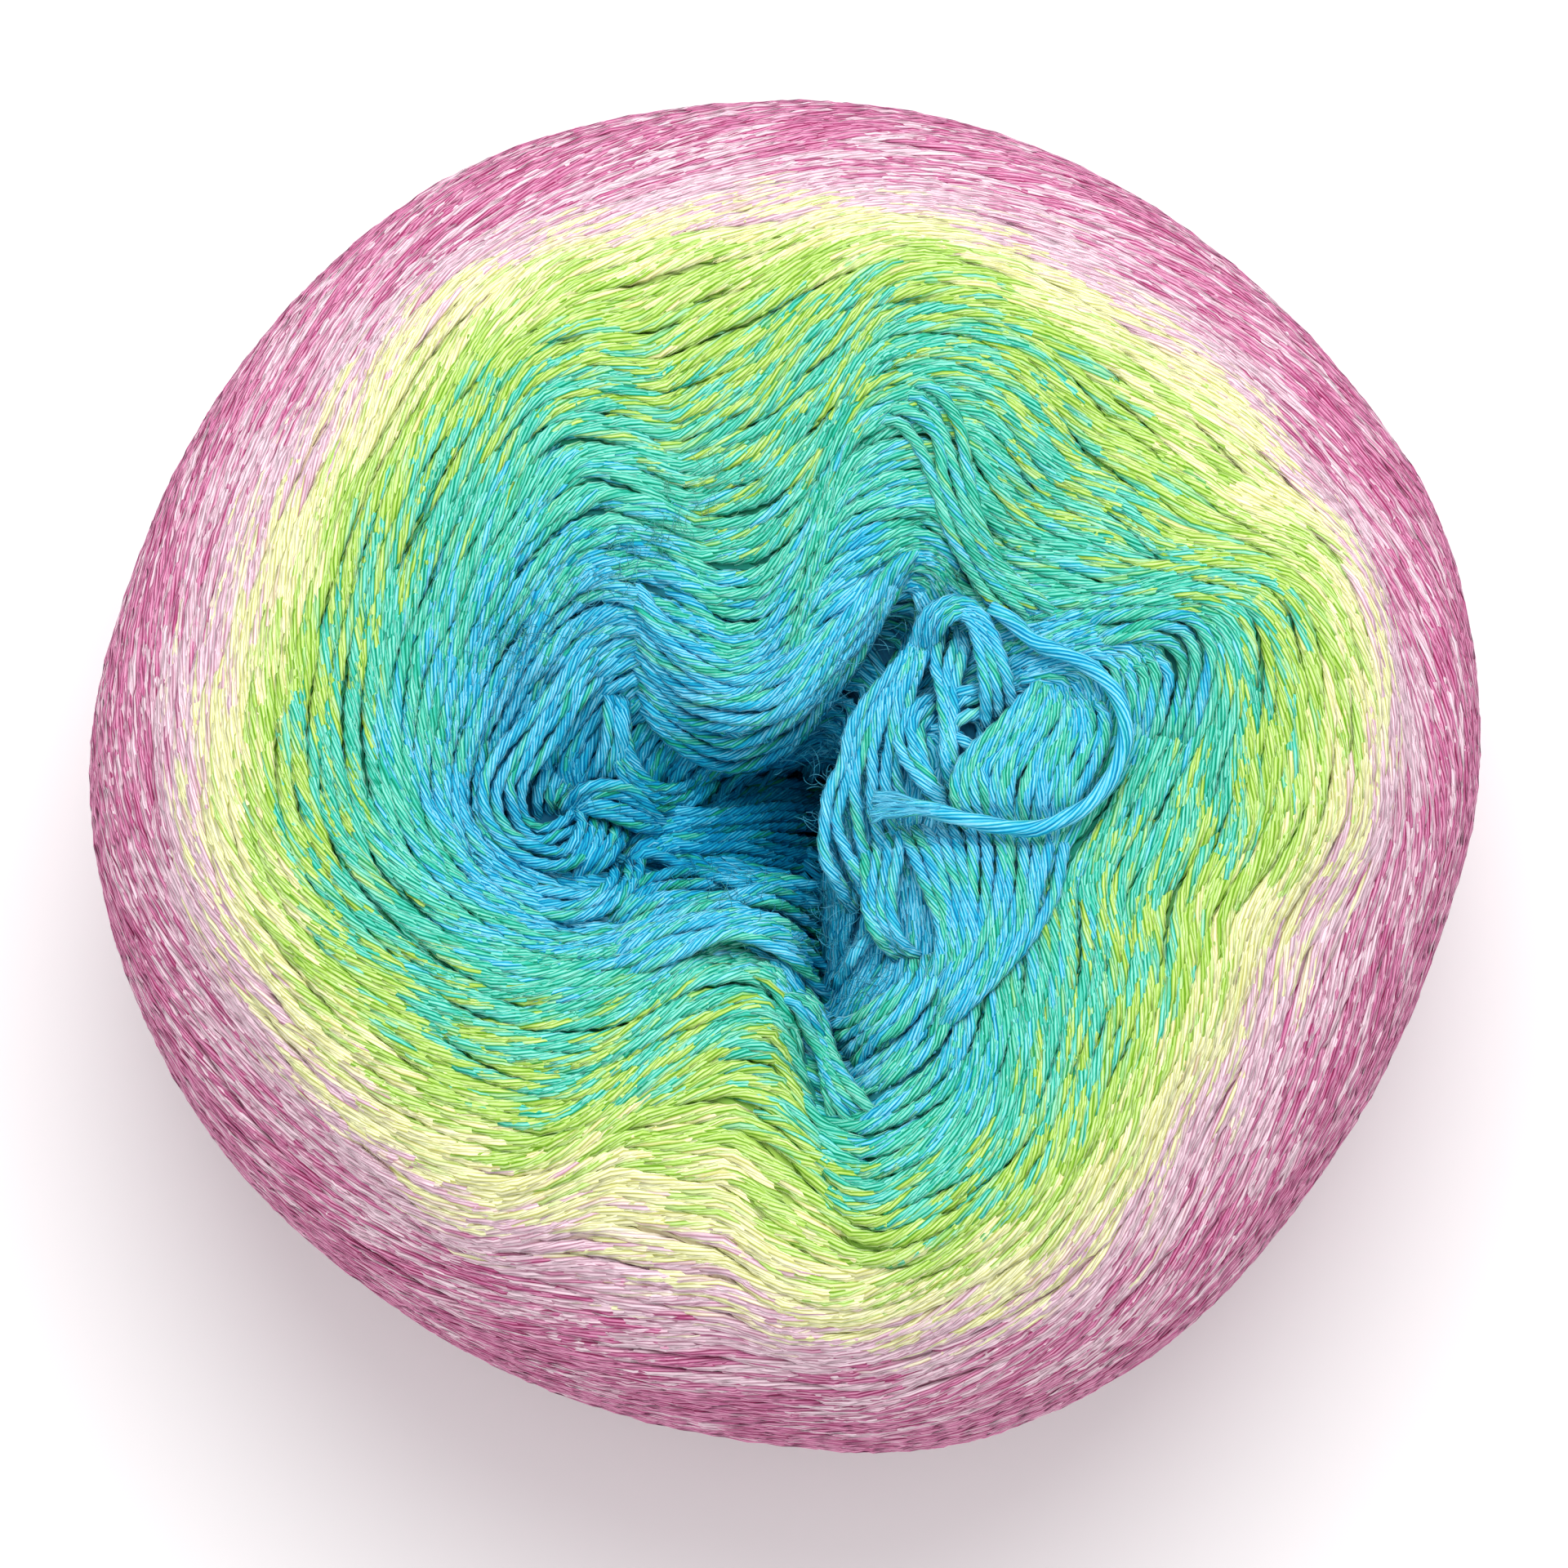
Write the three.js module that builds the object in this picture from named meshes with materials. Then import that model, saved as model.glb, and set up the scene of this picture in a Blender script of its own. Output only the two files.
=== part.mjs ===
// Wound cake of four-thread gradient yarn, in millimetres, +Z up, resting on its flat underside.
// The yarn is drawn from a well in the middle, so the inner turns have slumped into folds.
// The origin lies on the resting face, under the middle of the cake's outline.
import * as THREE from 'three';

const CREST_LEVEL = 83.5;
const GIRTH_LEVEL = 40;
const WELL_AXIS = new THREE.Vector2(-2, -7);
const THROAT = new THREE.Vector2(2.4, -4.6);
const THROAT_LEVEL = 56;
const WELL_FLOOR_LEVEL = 38;
const WELL_FOOT_RADIUS = 3.4;
const SOCKET_TOP_LEVEL = 14;
const SOCKET_RADIUS = 6.5;
const FOOT_INSET = 14;
const FOOT_INNER_RADIUS = 25;
const UNDERSIDE_LIP_RADIUS = 12;
const RIDGE_HEIGHT = 0.9;
const RIDGE_PROFILE = [0, 1, 0.5];
const RIDGE_STEEPNESS = 0.8;
const COLUMNS_ROUND = 96;
const YARN_DIAMETER = 1.5;
const YARN_SIDES = 8;
const LOOSE_END_STEPS = 22;

// One row for each crest, valley and crease of the folds, counter-clockwise round the well from +X.
// girth is the widest turn's radius about the origin. pink, cream, lime, turquoise, blue and sky are
// the radii about the well axis of the turns where each of those colours starts, and lip is the radius
// at which the top turns down into the well. lift raises the fold, and brink is the lip's level.
const FOLD_COLUMNS = [
  'angle', 'girth', 'pink', 'cream', 'lime', 'turquoise', 'blue', 'sky', 'lip', 'lift', 'brink',
];
const FOLD_ROWS = [
  [0, 69.5, 63, 59, 54.5, 47, 30, 19, 7.8, 0, 76],
  [21, 70.4, 64, 62.5, 58.5, 52.5, 43, 27, 8.2, 2, 76],
  [34, 69, 64, 61, 55.5, 46.5, 34, 20, 9.2, -0.5, 74],
  [47, 68.2, 64, 60.5, 55, 46.5, 30.5, 14, 10.4, -2, 70],
  [54, 68, 64, 60, 55.5, 48.5, 31.5, 20, 11.2, 0.5, 70],
  [61, 68, 64, 60, 56, 51, 32.5, 16, 10, 1.5, 71],
  [68, 68, 64, 60, 56.5, 52, 31.5, 10.5, 8.6, 1.5, 71],
  [75, 68, 64, 60, 56.5, 51.5, 29.5, 9.4, 7.4, 0.5, 70],
  [83, 68, 64, 59.5, 55.5, 47.5, 23.5, 8.6, 6.4, -1, 70],
  [93, 67.9, 63.5, 58.5, 54, 43.5, 21.4, 8, 5.6, -2, 68],
  [103, 68.2, 63.5, 58.5, 54, 42.5, 22.6, 8, 5.2, -1.5, 68],
  [112, 68.8, 63.5, 59.5, 55, 47, 29.5, 9, 5.4, 0, 68],
  [120, 69.2, 63.5, 60, 54.5, 48.5, 34.5, 12, 5.6, 1.5, 68],
  [128, 69, 63, 59, 53, 47.5, 35, 19, 6, 2, 67],
  [140, 68.7, 62, 56.8, 51, 46.5, 35, 22, 6.6, 2, 67],
  [160, 68.6, 61.5, 55.5, 50, 45.5, 35.5, 24, 7.6, 1, 66],
  [180, 70, 61, 56, 50.5, 45.5, 35, 26, 7.8, 0.5, 64],
  [210, 68.4, 57, 52, 46.5, 40, 29, 19.5, 5, 0, 61],
  [235, 66.2, 55, 50, 43, 35.5, 19, 11, 3.8, -1.5, 60],
  [250, 66, 54, 45.5, 36, 28, 15, 8.4, 4, -2.5, 60],
  [263, 66.4, 54.5, 46.5, 36.5, 25.5, 14.5, 7.8, 4.4, -3, 60],
  [272, 67.4, 56.5, 51, 43, 27, 16, 8.6, 5.6, -3, 60],
  [277, 68.3, 58.2, 52.4, 46.5, 33, 20, 10, 8, -2.5, 60.5],
  [281, 68.8, 59, 53.2, 48, 41, 29, 16, 12, -1, 62],
  [286, 69.1, 59.5, 53.5, 48.5, 43.5, 33, 22, 15, 1, 64],
  [300, 68.7, 60, 54, 49, 44, 34, 21, 11, 1.5, 70],
  [325, 66.8, 58, 51, 47, 41, 28.5, 18, 8, 0.5, 75],
  [343, 67.3, 59, 51.5, 47, 40.5, 25, 16.5, 8, -0.5, 76],
];
const FOLDS = FOLD_ROWS.map((row) => Object.fromEntries(FOLD_COLUMNS.map((column, i) => [column, row[i]])));

// Stations of the cross-section, from the well's floor up and over the top, down the side and back
// underneath to the socket that the winder's spindle left. rows is the number of mesh rows up to the
// next station. radius works out the turn's radius from a row of the fold table, and level its height.
// outward is how far the turn is centred on the outline instead of the well, and inward how far it is
// centred on the throat. lift is the share of the fold's height that it takes, and ridge the share of
// the ridge height. These four are 0 if left out.
const STATIONS = [
  { name: 'well floor', rows: 1, radius: () => 0, level: () => WELL_FLOOR_LEVEL, inward: 1 },
  { name: 'well foot', rows: 1, radius: () => WELL_FOOT_RADIUS, level: () => 42, inward: 1 },
  { name: 'throat', rows: 3, radius: throatRadius, level: () => THROAT_LEVEL, inward: 1 },
  { name: 'lip', rows: 3, radius: (f) => f.lip, level: (f) => f.brink, ridge: 1 },
  { name: 'sky', rows: 6, radius: (f) => f.sky, level: skyLevel, lift: 0.7, ridge: 1 },
  { name: 'blue', rows: 6, radius: (f) => f.blue, level: () => 82, lift: 1, ridge: 1 },
  { name: 'turquoise', rows: 3, radius: (f) => f.turquoise, level: () => CREST_LEVEL, lift: 0.7, ridge: 1 },
  { name: 'lime', rows: 3, radius: (f) => f.lime, level: () => 82, lift: 0.3, ridge: 1 },
  { name: 'cream', rows: 3, radius: (f) => f.cream, level: () => 78, outward: 0.05, lift: 0.1, ridge: 1 },
  { name: 'pink', rows: 3, radius: (f) => f.pink, level: () => 71, outward: 0.2, ridge: 1 },
  { name: 'shoulder', rows: 3, radius: shoulderRadius, level: () => 63, outward: 0.7, ridge: 1 },
  { name: 'wall', rows: 3, radius: wallRadius, level: () => 52, outward: 0.95, ridge: 0.6 },
  { name: 'girth', rows: 3, radius: (f) => f.girth, level: () => GIRTH_LEVEL, outward: 1, ridge: 0.5 },
  { name: 'low wall', rows: 3, radius: (f) => f.girth - 0.8, level: () => 26, outward: 1, ridge: 0.6 },
  { name: 'low shoulder', rows: 2, radius: (f) => f.girth - 3.8, level: () => 11, outward: 1 },
  { name: 'heel', rows: 1, radius: (f) => f.girth - 9, level: () => 2.5, outward: 1 },
  { name: 'foot', rows: 2, radius: (f) => f.girth - FOOT_INSET, level: () => 0, outward: 1 },
  { name: 'inner foot', rows: 2, radius: () => FOOT_INNER_RADIUS, level: () => 0, outward: 0.5 },
  { name: 'underside lip', rows: 2, radius: () => UNDERSIDE_LIP_RADIUS, level: () => 3 },
  { name: 'socket', rows: 1, radius: () => SOCKET_RADIUS, level: () => SOCKET_TOP_LEVEL - 4 },
  { name: 'socket top', rows: 1, radius: () => 0, level: () => SOCKET_TOP_LEVEL },
];

// Places where loose turns stand up or have sunk, each a smooth round hump or pit on the top.
const LOOSE_TURNS = [
  { name: 'bunch beside the well', x: 17, y: -6, reachX: 13, reachY: 17, rise: 2.5 },
  { name: 'crease behind the bunch', x: 10.5, y: 8, reachX: 3.5, reachY: 6, rise: -5 },
  { name: 'eye of the swirl', x: -24, y: -7, reachX: 3, reachY: 3, rise: -4 },
  { name: 'pinch in front of the well', x: 4, y: -31, reachX: 4, reachY: 7, rise: -4 },
  { name: 'crease in the right crest', x: 37.2, y: 4.5, reachX: 1.8, reachY: 5, rise: -3 },
];

// Middle line of the loose inner end: out of a valley, round over the bunch and back to the well.
const LOOSE_END_ROUTE = [
  [19.6, 11.5, 82.7],
  [21.8, 9.8, 83.6],
  [23.6, 8.0, 84.1],
  [26.6, 6.7, 84.6],
  [29.6, 4.9, 85.0],
  [31.7, 2.2, 85.4],
  [32.3, -1.1, 85.4],
  [31.4, -4.4, 85.3],
  [29.3, -7.4, 85.2],
  [26.6, -9.2, 85.2],
  [23.6, -10.2, 85.2],
  [20.6, -10.0, 85.1],
  [17.6, -9.4, 84.7],
  [14.6, -8.5, 83.9],
  [11.6, -7.7, 82.9],
  [9.1, -7.7, 81.8],
];

function mix(from, to, share) {
  return from + (to - from) * share;
}

function throatRadius(fold) {
  return mix(WELL_FOOT_RADIUS, fold.lip, 0.15);
}

function shoulderRadius(fold) {
  return mix(fold.pink, fold.girth, 0.66);
}

function wallRadius(fold) {
  return mix(fold.pink, fold.girth, 0.94);
}

// The top between the lip and the blue turns climbs most of its way at once.
function skyLevel(fold) {
  return mix(fold.brink, 81.5, 0.7);
}

// A curve through the given values that never overshoots them: a cubic between each two knots, whose
// slope at a knot is the harmonic mean of the slopes on its two sides, or level at a peak or an end.
function smoothCurve(knots, values) {
  const slopes = knots.slice(1).map((knot, i) => (values[i + 1] - values[i]) / (knot - knots[i]));
  const tangents = knots.map((knot, i) => {
    const before = slopes[i - 1] ?? 0;
    const after = slopes[i] ?? 0;
    return before * after > 0 ? (2 * before * after) / (before + after) : 0;
  });
  return (place) => {
    const next = knots.findIndex((knot, i) => i > 0 && place <= knot);
    const end = next < 0 ? knots.length - 1 : next;
    const start = end - 1;
    const gap = knots[end] - knots[start];
    const t = (place - knots[start]) / gap;
    const s = 1 - t;
    const fromStart = s * s * ((1 + 2 * t) * values[start] + t * gap * tangents[start]);
    const fromEnd = t * t * ((1 + 2 * s) * values[end] - s * gap * tangents[end]);
    return fromStart + fromEnd;
  };
}

// The fold table as a function of the angle: each column is a smooth curve that closes on itself.
function foldCurves() {
  const turn = 360;
  const before = FOLDS.map((fold) => ({ ...fold, angle: fold.angle - turn }));
  const after = FOLDS.map((fold) => ({ ...fold, angle: fold.angle + turn }));
  const rows = [...before, ...FOLDS, ...after];
  const angles = rows.map((row) => row.angle);
  const columns = Object.keys(FOLDS[0]).filter((column) => column !== 'angle');
  const curves = columns.map((column) => smoothCurve(angles, rows.map((row) => row[column])));
  return (angle) => Object.fromEntries(columns.map((column, i) => [column, curves[i](angle)]));
}

// Sum of the smooth humps and pits at a place: each falls off as a bell in x and in y.
function looseRise(x, y) {
  const rises = LOOSE_TURNS.map((turn) => {
    const across = (x - turn.x) / turn.reachX;
    const along = (y - turn.y) / turn.reachY;
    return turn.rise * Math.exp(-(across ** 2) - along ** 2);
  });
  return rises.reduce((sum, rise) => sum + rise, 0);
}

// The cross-section at one angle as smooth curves through the stations: a place along it gives the
// turn's radius and level, how far outward or inward it is centred, and how freely it stands up or sinks.
function sectionCurves(fold) {
  const places = STATIONS.map((station, i) => i);
  const through = (valueOf) => smoothCurve(places, STATIONS.map(valueOf));
  return {
    radius: through((station) => station.radius(fold)),
    level: through((station) => station.level(fold) + (station.lift ?? 0) * fold.lift),
    outward: through((station) => station.outward ?? 0),
    inward: through((station) => station.inward ?? 0),
    freedom: through((station) => station.lift ?? 0),
    ridge: through((station) => (station.ridge ?? 0) * RIDGE_HEIGHT),
  };
}

// One point of the surface: out from the well's axis to the turn, then off the surface by the ridge,
// square to the section, and up or down with the loose turns. A ridge is lower where rows crowd.
function surfacePoint(curves, place, angle, ridgeShare, rows) {
  const reach = 0.02;
  const run = curves.radius(place + reach) - curves.radius(place - reach);
  const rise = curves.level(place + reach) - curves.level(place - reach);
  const step = Math.hypot(run, rise) || 1;
  const rowGap = step / (2 * reach * rows);
  const height = ridgeShare * Math.min(curves.ridge(place), RIDGE_STEEPNESS * rowGap);
  const offset = height / step;
  const radius = curves.radius(place) - rise * offset;
  const centre = WELL_AXIS.clone().lerp(THROAT, curves.inward(place));
  centre.multiplyScalar(1 - curves.outward(place));
  const x = centre.x + radius * Math.cos(angle);
  const y = centre.y + radius * Math.sin(angle);
  const loose = looseRise(x, y) * Math.min(1, 2 * curves.freedom(place));
  return new THREE.Vector3(x, y, curves.level(place) + run * offset + loose);
}

// The cake's cross-section at one angle: a list of points through the stations, with ridges between,
// in reverse so that the turned surface faces outwards.
function crossSection(angle, fold) {
  const curves = sectionCurves(fold);
  const points = [];
  STATIONS.forEach((station, i) => {
    for (let row = 0; row < station.rows; row += 1) {
      const ridgeShare = RIDGE_PROFILE[row % RIDGE_PROFILE.length];
      points.push(surfacePoint(curves, i + row / station.rows, angle, ridgeShare, station.rows));
    }
  });
  return points.reverse();
}

// The wound solid: a profile turned round the well, each of whose cross-sections follows the folds.
function cakeGeometry() {
  const foldAt = foldCurves();
  const sections = [];
  for (let column = 0; column < COLUMNS_ROUND; column += 1) {
    const angle = (column / COLUMNS_ROUND) * 2 * Math.PI;
    sections.push(crossSection(angle, foldAt(THREE.MathUtils.radToDeg(angle))));
  }
  const rows = sections[0].length;
  const profile = sections[0].map((point) => new THREE.Vector2(point.x - WELL_AXIS.x, point.z));
  const geometry = new THREE.LatheGeometry(profile, COLUMNS_ROUND);
  const position = geometry.attributes.position;
  for (let i = 0; i < position.count; i += 1) {
    const column = Math.floor(i / rows) % COLUMNS_ROUND;
    const point = sections[column][i % rows];
    position.setXYZ(i, point.x, point.y, point.z);
  }
  geometry.computeVertexNormals();
  return geometry;
}

// The loose end: a round section carried along its middle line.
function looseEndGeometry() {
  const route = new THREE.CatmullRomCurve3(LOOSE_END_ROUTE.map((point) => new THREE.Vector3(...point)));
  const section = new THREE.Shape();
  for (let side = 0; side < YARN_SIDES; side += 1) {
    const turn = (side / YARN_SIDES) * 2 * Math.PI;
    const x = (YARN_DIAMETER / 2) * Math.cos(turn);
    const y = (YARN_DIAMETER / 2) * Math.sin(turn);
    if (side === 0) {
      section.moveTo(x, y);
    } else {
      section.lineTo(x, y);
    }
  }
  section.closePath();
  const settings = { steps: LOOSE_END_STEPS, extrudePath: route, bevelEnabled: false };
  return new THREE.ExtrudeGeometry(section, settings);
}

function namedMesh(name, geometry, color) {
  const material = new THREE.MeshStandardMaterial({ color, roughness: 0.9, metalness: 0 });
  const mesh = new THREE.Mesh(geometry, material);
  mesh.name = name;
  return mesh;
}

const yarnCake = new THREE.Group();
yarnCake.add(namedMesh('cake', cakeGeometry(), 0x9fd3a0));
yarnCake.add(namedMesh('loose_end', looseEndGeometry(), 0x3aa6d6));

export default yarnCake;
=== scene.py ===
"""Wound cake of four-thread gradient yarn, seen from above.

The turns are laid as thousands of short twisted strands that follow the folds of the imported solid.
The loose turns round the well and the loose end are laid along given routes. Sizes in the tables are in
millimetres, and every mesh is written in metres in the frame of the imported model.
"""

import math

import bpy
import numpy as np
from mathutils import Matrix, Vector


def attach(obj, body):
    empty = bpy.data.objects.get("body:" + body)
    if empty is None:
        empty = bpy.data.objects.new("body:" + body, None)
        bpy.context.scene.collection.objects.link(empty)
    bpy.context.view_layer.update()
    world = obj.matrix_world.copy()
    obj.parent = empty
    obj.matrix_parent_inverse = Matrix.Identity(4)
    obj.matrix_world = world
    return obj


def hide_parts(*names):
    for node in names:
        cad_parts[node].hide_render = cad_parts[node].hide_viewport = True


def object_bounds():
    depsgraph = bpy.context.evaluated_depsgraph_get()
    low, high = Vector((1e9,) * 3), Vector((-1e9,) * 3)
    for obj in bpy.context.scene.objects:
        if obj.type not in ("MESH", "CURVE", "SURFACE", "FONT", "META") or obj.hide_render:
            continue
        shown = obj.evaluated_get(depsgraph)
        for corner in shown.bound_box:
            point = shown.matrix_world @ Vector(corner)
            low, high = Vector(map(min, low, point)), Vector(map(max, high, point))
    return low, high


bl_info = {
    "name": "Yarn Cake",
    "version": (1, 0, 0),
    "blender": (4, 5, 0),
    "location": "View3D > Sidebar > Yarn Cake",
    "description": "Lays the turns, loose strands and loose end of a wound cake of gradient yarn",
    "category": "Add Mesh",
}

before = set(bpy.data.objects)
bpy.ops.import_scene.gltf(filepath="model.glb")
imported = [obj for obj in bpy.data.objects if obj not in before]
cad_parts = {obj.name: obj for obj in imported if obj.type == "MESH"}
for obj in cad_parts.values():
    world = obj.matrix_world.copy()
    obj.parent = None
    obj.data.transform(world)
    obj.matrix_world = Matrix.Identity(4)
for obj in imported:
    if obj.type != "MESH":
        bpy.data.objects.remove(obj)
CAD_LOW, CAD_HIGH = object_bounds()
BODY = "root"

MM = 0.001
TURN = 2 * math.pi
GOLDEN = (math.sqrt(5) - 1) / 2
UP = (0.0, 0.0, 1.0)

# The wound form

CREST_LEVEL = 83.5
GIRTH_LEVEL = 40
WELL_X = -2.0
WELL_Y = -7.0
WELL_FLOOR_LEVEL = 38
THROAT_X = 2.4
THROAT_Y = -4.6
WELL_FOOT_RADIUS = 3.4
SOCKET_TOP_LEVEL = 14
SOCKET_RADIUS = 6.5
FOOT_INSET = 14
FOOT_INNER_RADIUS = 25
UNDERSIDE_LIP_RADIUS = 12
ANGLE_STEPS = 1080
STEPS_PER_STATION = 40

# One row for each crest, valley and crease of the folds, counter-clockwise round the well from +X.
# girth is the widest turn's radius about the origin. pink to blue are the radii about the well of the
# turns where each colour starts, and lip is the radius at which the top turns down into the well.
# lift raises the fold, and brink is the lip's level.
FOLD_COLUMNS = (
    "angle", "girth", "pink", "cream", "lime", "turquoise", "blue", "sky", "lip", "lift", "brink",
)
FOLD_ROWS = (
    (0, 69.5, 63, 59, 54.5, 47, 30, 19, 7.8, 0, 76),
    (21, 70.4, 64, 62.5, 58.5, 52.5, 43, 27, 8.2, 2, 76),
    (34, 69, 64, 61, 55.5, 46.5, 34, 20, 9.2, -0.5, 74),
    (47, 68.2, 64, 60.5, 55, 46.5, 30.5, 14, 10.4, -2, 70),
    (54, 68, 64, 60, 55.5, 48.5, 31.5, 20, 11.2, 0.5, 70),
    (61, 68, 64, 60, 56, 51, 32.5, 16, 10, 1.5, 71),
    (68, 68, 64, 60, 56.5, 52, 31.5, 10.5, 8.6, 1.5, 71),
    (75, 68, 64, 60, 56.5, 51.5, 29.5, 9.4, 7.4, 0.5, 70),
    (83, 68, 64, 59.5, 55.5, 47.5, 23.5, 8.6, 6.4, -1, 70),
    (93, 67.9, 63.5, 58.5, 54, 43.5, 21.4, 8, 5.6, -2, 68),
    (103, 68.2, 63.5, 58.5, 54, 42.5, 22.6, 8, 5.2, -1.5, 68),
    (112, 68.8, 63.5, 59.5, 55, 47, 29.5, 9, 5.4, 0, 68),
    (120, 69.2, 63.5, 60, 54.5, 48.5, 34.5, 12, 5.6, 1.5, 68),
    (128, 69, 63, 59, 53, 47.5, 35, 19, 6, 2, 67),
    (140, 68.7, 62, 56.8, 51, 46.5, 35, 22, 6.6, 2, 67),
    (160, 68.6, 61.5, 55.5, 50, 45.5, 35.5, 24, 7.6, 1, 66),
    (180, 70, 61, 56, 50.5, 45.5, 35, 26, 7.8, 0.5, 64),
    (210, 68.4, 57, 52, 46.5, 40, 29, 19.5, 5, 0, 61),
    (235, 66.2, 55, 50, 43, 35.5, 19, 11, 3.8, -1.5, 60),
    (250, 66, 54, 45.5, 36, 28, 15, 8.4, 4, -2.5, 60),
    (263, 66.4, 54.5, 46.5, 36.5, 25.5, 14.5, 7.8, 4.4, -3, 60),
    (272, 67.4, 56.5, 51, 43, 27, 16, 8.6, 5.6, -3, 60),
    (277, 68.3, 58.2, 52.4, 46.5, 33, 20, 10, 8, -2.5, 60.5),
    (281, 68.8, 59, 53.2, 48, 41, 29, 16, 12, -1, 62),
    (286, 69.1, 59.5, 53.5, 48.5, 43.5, 33, 22, 15, 1, 64),
    (300, 68.7, 60, 54, 49, 44, 34, 21, 11, 1.5, 70),
    (325, 66.8, 58, 51, 47, 41, 28.5, 18, 8, 0.5, 75),
    (343, 67.3, 59, 51.5, 47, 40.5, 25, 16.5, 8, -0.5, 76),
)


def mix(start, end, share):
    """The value that lies the given share of the way from start to end."""
    return start + (end - start) * share


def smooth_step(share):
    """A rise from 0 to 1, level at both ends: three squares of the share less two cubes."""
    return share * share * (3 - 2 * share)


def named_rows(columns, rows):
    """The rows of a table, each as a dict by the columns' names."""
    return [dict(zip(columns, row)) for row in rows]


# Stations of the cross-section, from the well's floor up and over the top, down the side and back
# underneath. radius and level are sizes, or are worked out from a row of the folds. outward is how far
# the turn is centred on the outline instead of the well, and inward how far it is centred on the throat.
# lift is the share of the fold's height that it takes, and wind is how far the yarn has run through its
# colours: 0 is magenta, 1 pale pink, 2 cream, 3 lime, 4 turquoise and 5 blue.
STATION_COLUMNS = ("name", "radius", "level", "outward", "inward", "lift", "wind")
STATION_ROWS = (
    ("well floor", 0, WELL_FLOOR_LEVEL, 0, 1, 0, 5.6),
    ("well foot", WELL_FOOT_RADIUS, 42, 0, 1, 0, 5.6),
    ("throat", lambda f: mix(WELL_FOOT_RADIUS, f["lip"], 0.15), 56, 0, 1, 0, 5.4),
    ("lip", lambda f: f["lip"], lambda f: f["brink"], 0, 0, 0, 5.1),
    ("sky", lambda f: f["sky"], lambda f: mix(f["brink"], 81.5, 0.7), 0, 0, 0.7, 4.95),
    ("blue", lambda f: f["blue"], 82, 0, 0, 1, 4.2),
    ("turquoise", lambda f: f["turquoise"], CREST_LEVEL, 0, 0, 0.7, 3.35),
    ("lime", lambda f: f["lime"], 82, 0, 0, 0.3, 2.45),
    ("cream", lambda f: f["cream"], 78, 0.05, 0, 0.1, 1.4),
    ("pink", lambda f: f["pink"], 71, 0.2, 0, 0, 0.55),
    ("shoulder", lambda f: mix(f["pink"], f["girth"], 0.66), 63, 0.7, 0, 0, 0.2),
    ("wall", lambda f: mix(f["pink"], f["girth"], 0.94), 52, 0.95, 0, 0, 0.05),
    ("girth", lambda f: f["girth"], GIRTH_LEVEL, 1, 0, 0, 0),
    ("low wall", lambda f: f["girth"] - 0.8, 26, 1, 0, 0, 0),
    ("low shoulder", lambda f: f["girth"] - 3.8, 11, 1, 0, 0, 0.1),
    ("heel", lambda f: f["girth"] - 9, 2.5, 1, 0, 0, 0.6),
    ("foot", lambda f: f["girth"] - FOOT_INSET, 0, 1, 0, 0, 1.3),
    ("inner foot", FOOT_INNER_RADIUS, 0, 0.5, 0, 0, 4.2),
    ("underside lip", UNDERSIDE_LIP_RADIUS, 3, 0, 0, 0, 5),
    ("socket", SOCKET_RADIUS, SOCKET_TOP_LEVEL - 4, 0, 0, 0, 5.2),
    ("socket top", 0, SOCKET_TOP_LEVEL, 0, 0, 0, 5.3),
)
STATIONS = named_rows(STATION_COLUMNS, STATION_ROWS)
STATION_NAMES = [row["name"] for row in STATIONS]

# Places where loose turns stand up or have sunk, each a smooth round hump or pit on the top.
LOOSE_COLUMNS = ("name", "x", "y", "reach_x", "reach_y", "rise")
LOOSE_ROWS = (
    ("bunch beside the well", 17, -6, 13, 17, 2.5),
    ("crease behind the bunch", 10.5, 8, 3.5, 6, -5),
    ("eye of the swirl", -24, -7, 3, 3, -4),
    ("pinch in front of the well", 4, -31, 4, 7, -4),
    ("crease in the right crest", 37.2, 4.5, 1.8, 5, -3),
)


def station(name):
    """The place of a named station along the cross-section."""
    return STATION_NAMES.index(name)


def size_at(size, folds):
    """A station's size: the number itself, or what its function works out from the folds."""
    return size(folds) if callable(size) else size


def cubic_curve(knots, values, slopes, places):
    """Cubic stretches between the knots, each with the values and slopes of its two ends."""
    start = np.clip(np.searchsorted(knots, places, side="left") - 1, 0, len(knots) - 2)
    gap = np.diff(knots)[start]
    t = (places - knots[start]) / gap
    s = 1 - t
    from_start = s * s * ((1 + 2 * t) * values[..., start] + t * gap * slopes[..., start])
    from_end = t * t * ((1 + 2 * s) * values[..., start + 1] - s * gap * slopes[..., start + 1])
    return from_start + from_end


def smooth_curve(knots, values, places):
    """A curve through the values at the knots that never overshoots them, worked out at the places.

    Its slope at a knot is the harmonic mean of the straight slopes on the knot's two sides, or level
    at a peak, a trough or an end.
    """
    straight = np.diff(values, axis=-1) / np.diff(knots)
    before, after = straight[..., :-1], straight[..., 1:]
    same_way = before * after > 0
    inner = np.where(same_way, 2 * before * after / np.where(same_way, before + after, 1.0), 0.0)
    slopes = np.pad(inner, [(0, 0)] * (inner.ndim - 1) + [(1, 1)])
    return cubic_curve(knots, values, slopes, places)


def loose_rise(x, y):
    """Sum of the humps and pits at a place: each falls off as a bell in x and in y."""
    rise = 0
    for turn in named_rows(LOOSE_COLUMNS, LOOSE_ROWS):
        across = (x - turn["x"]) / turn["reach_x"]
        along = (y - turn["y"]) / turn["reach_y"]
        rise = rise + turn["rise"] * np.exp(-(across**2) - along**2)
    return rise


def unit(vectors):
    """The vectors at length 1, and a zero vector left as it is."""
    lengths = np.linalg.norm(vectors, axis=-1, keepdims=True)
    return vectors / np.where(lengths > 0, lengths, 1)


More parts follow.
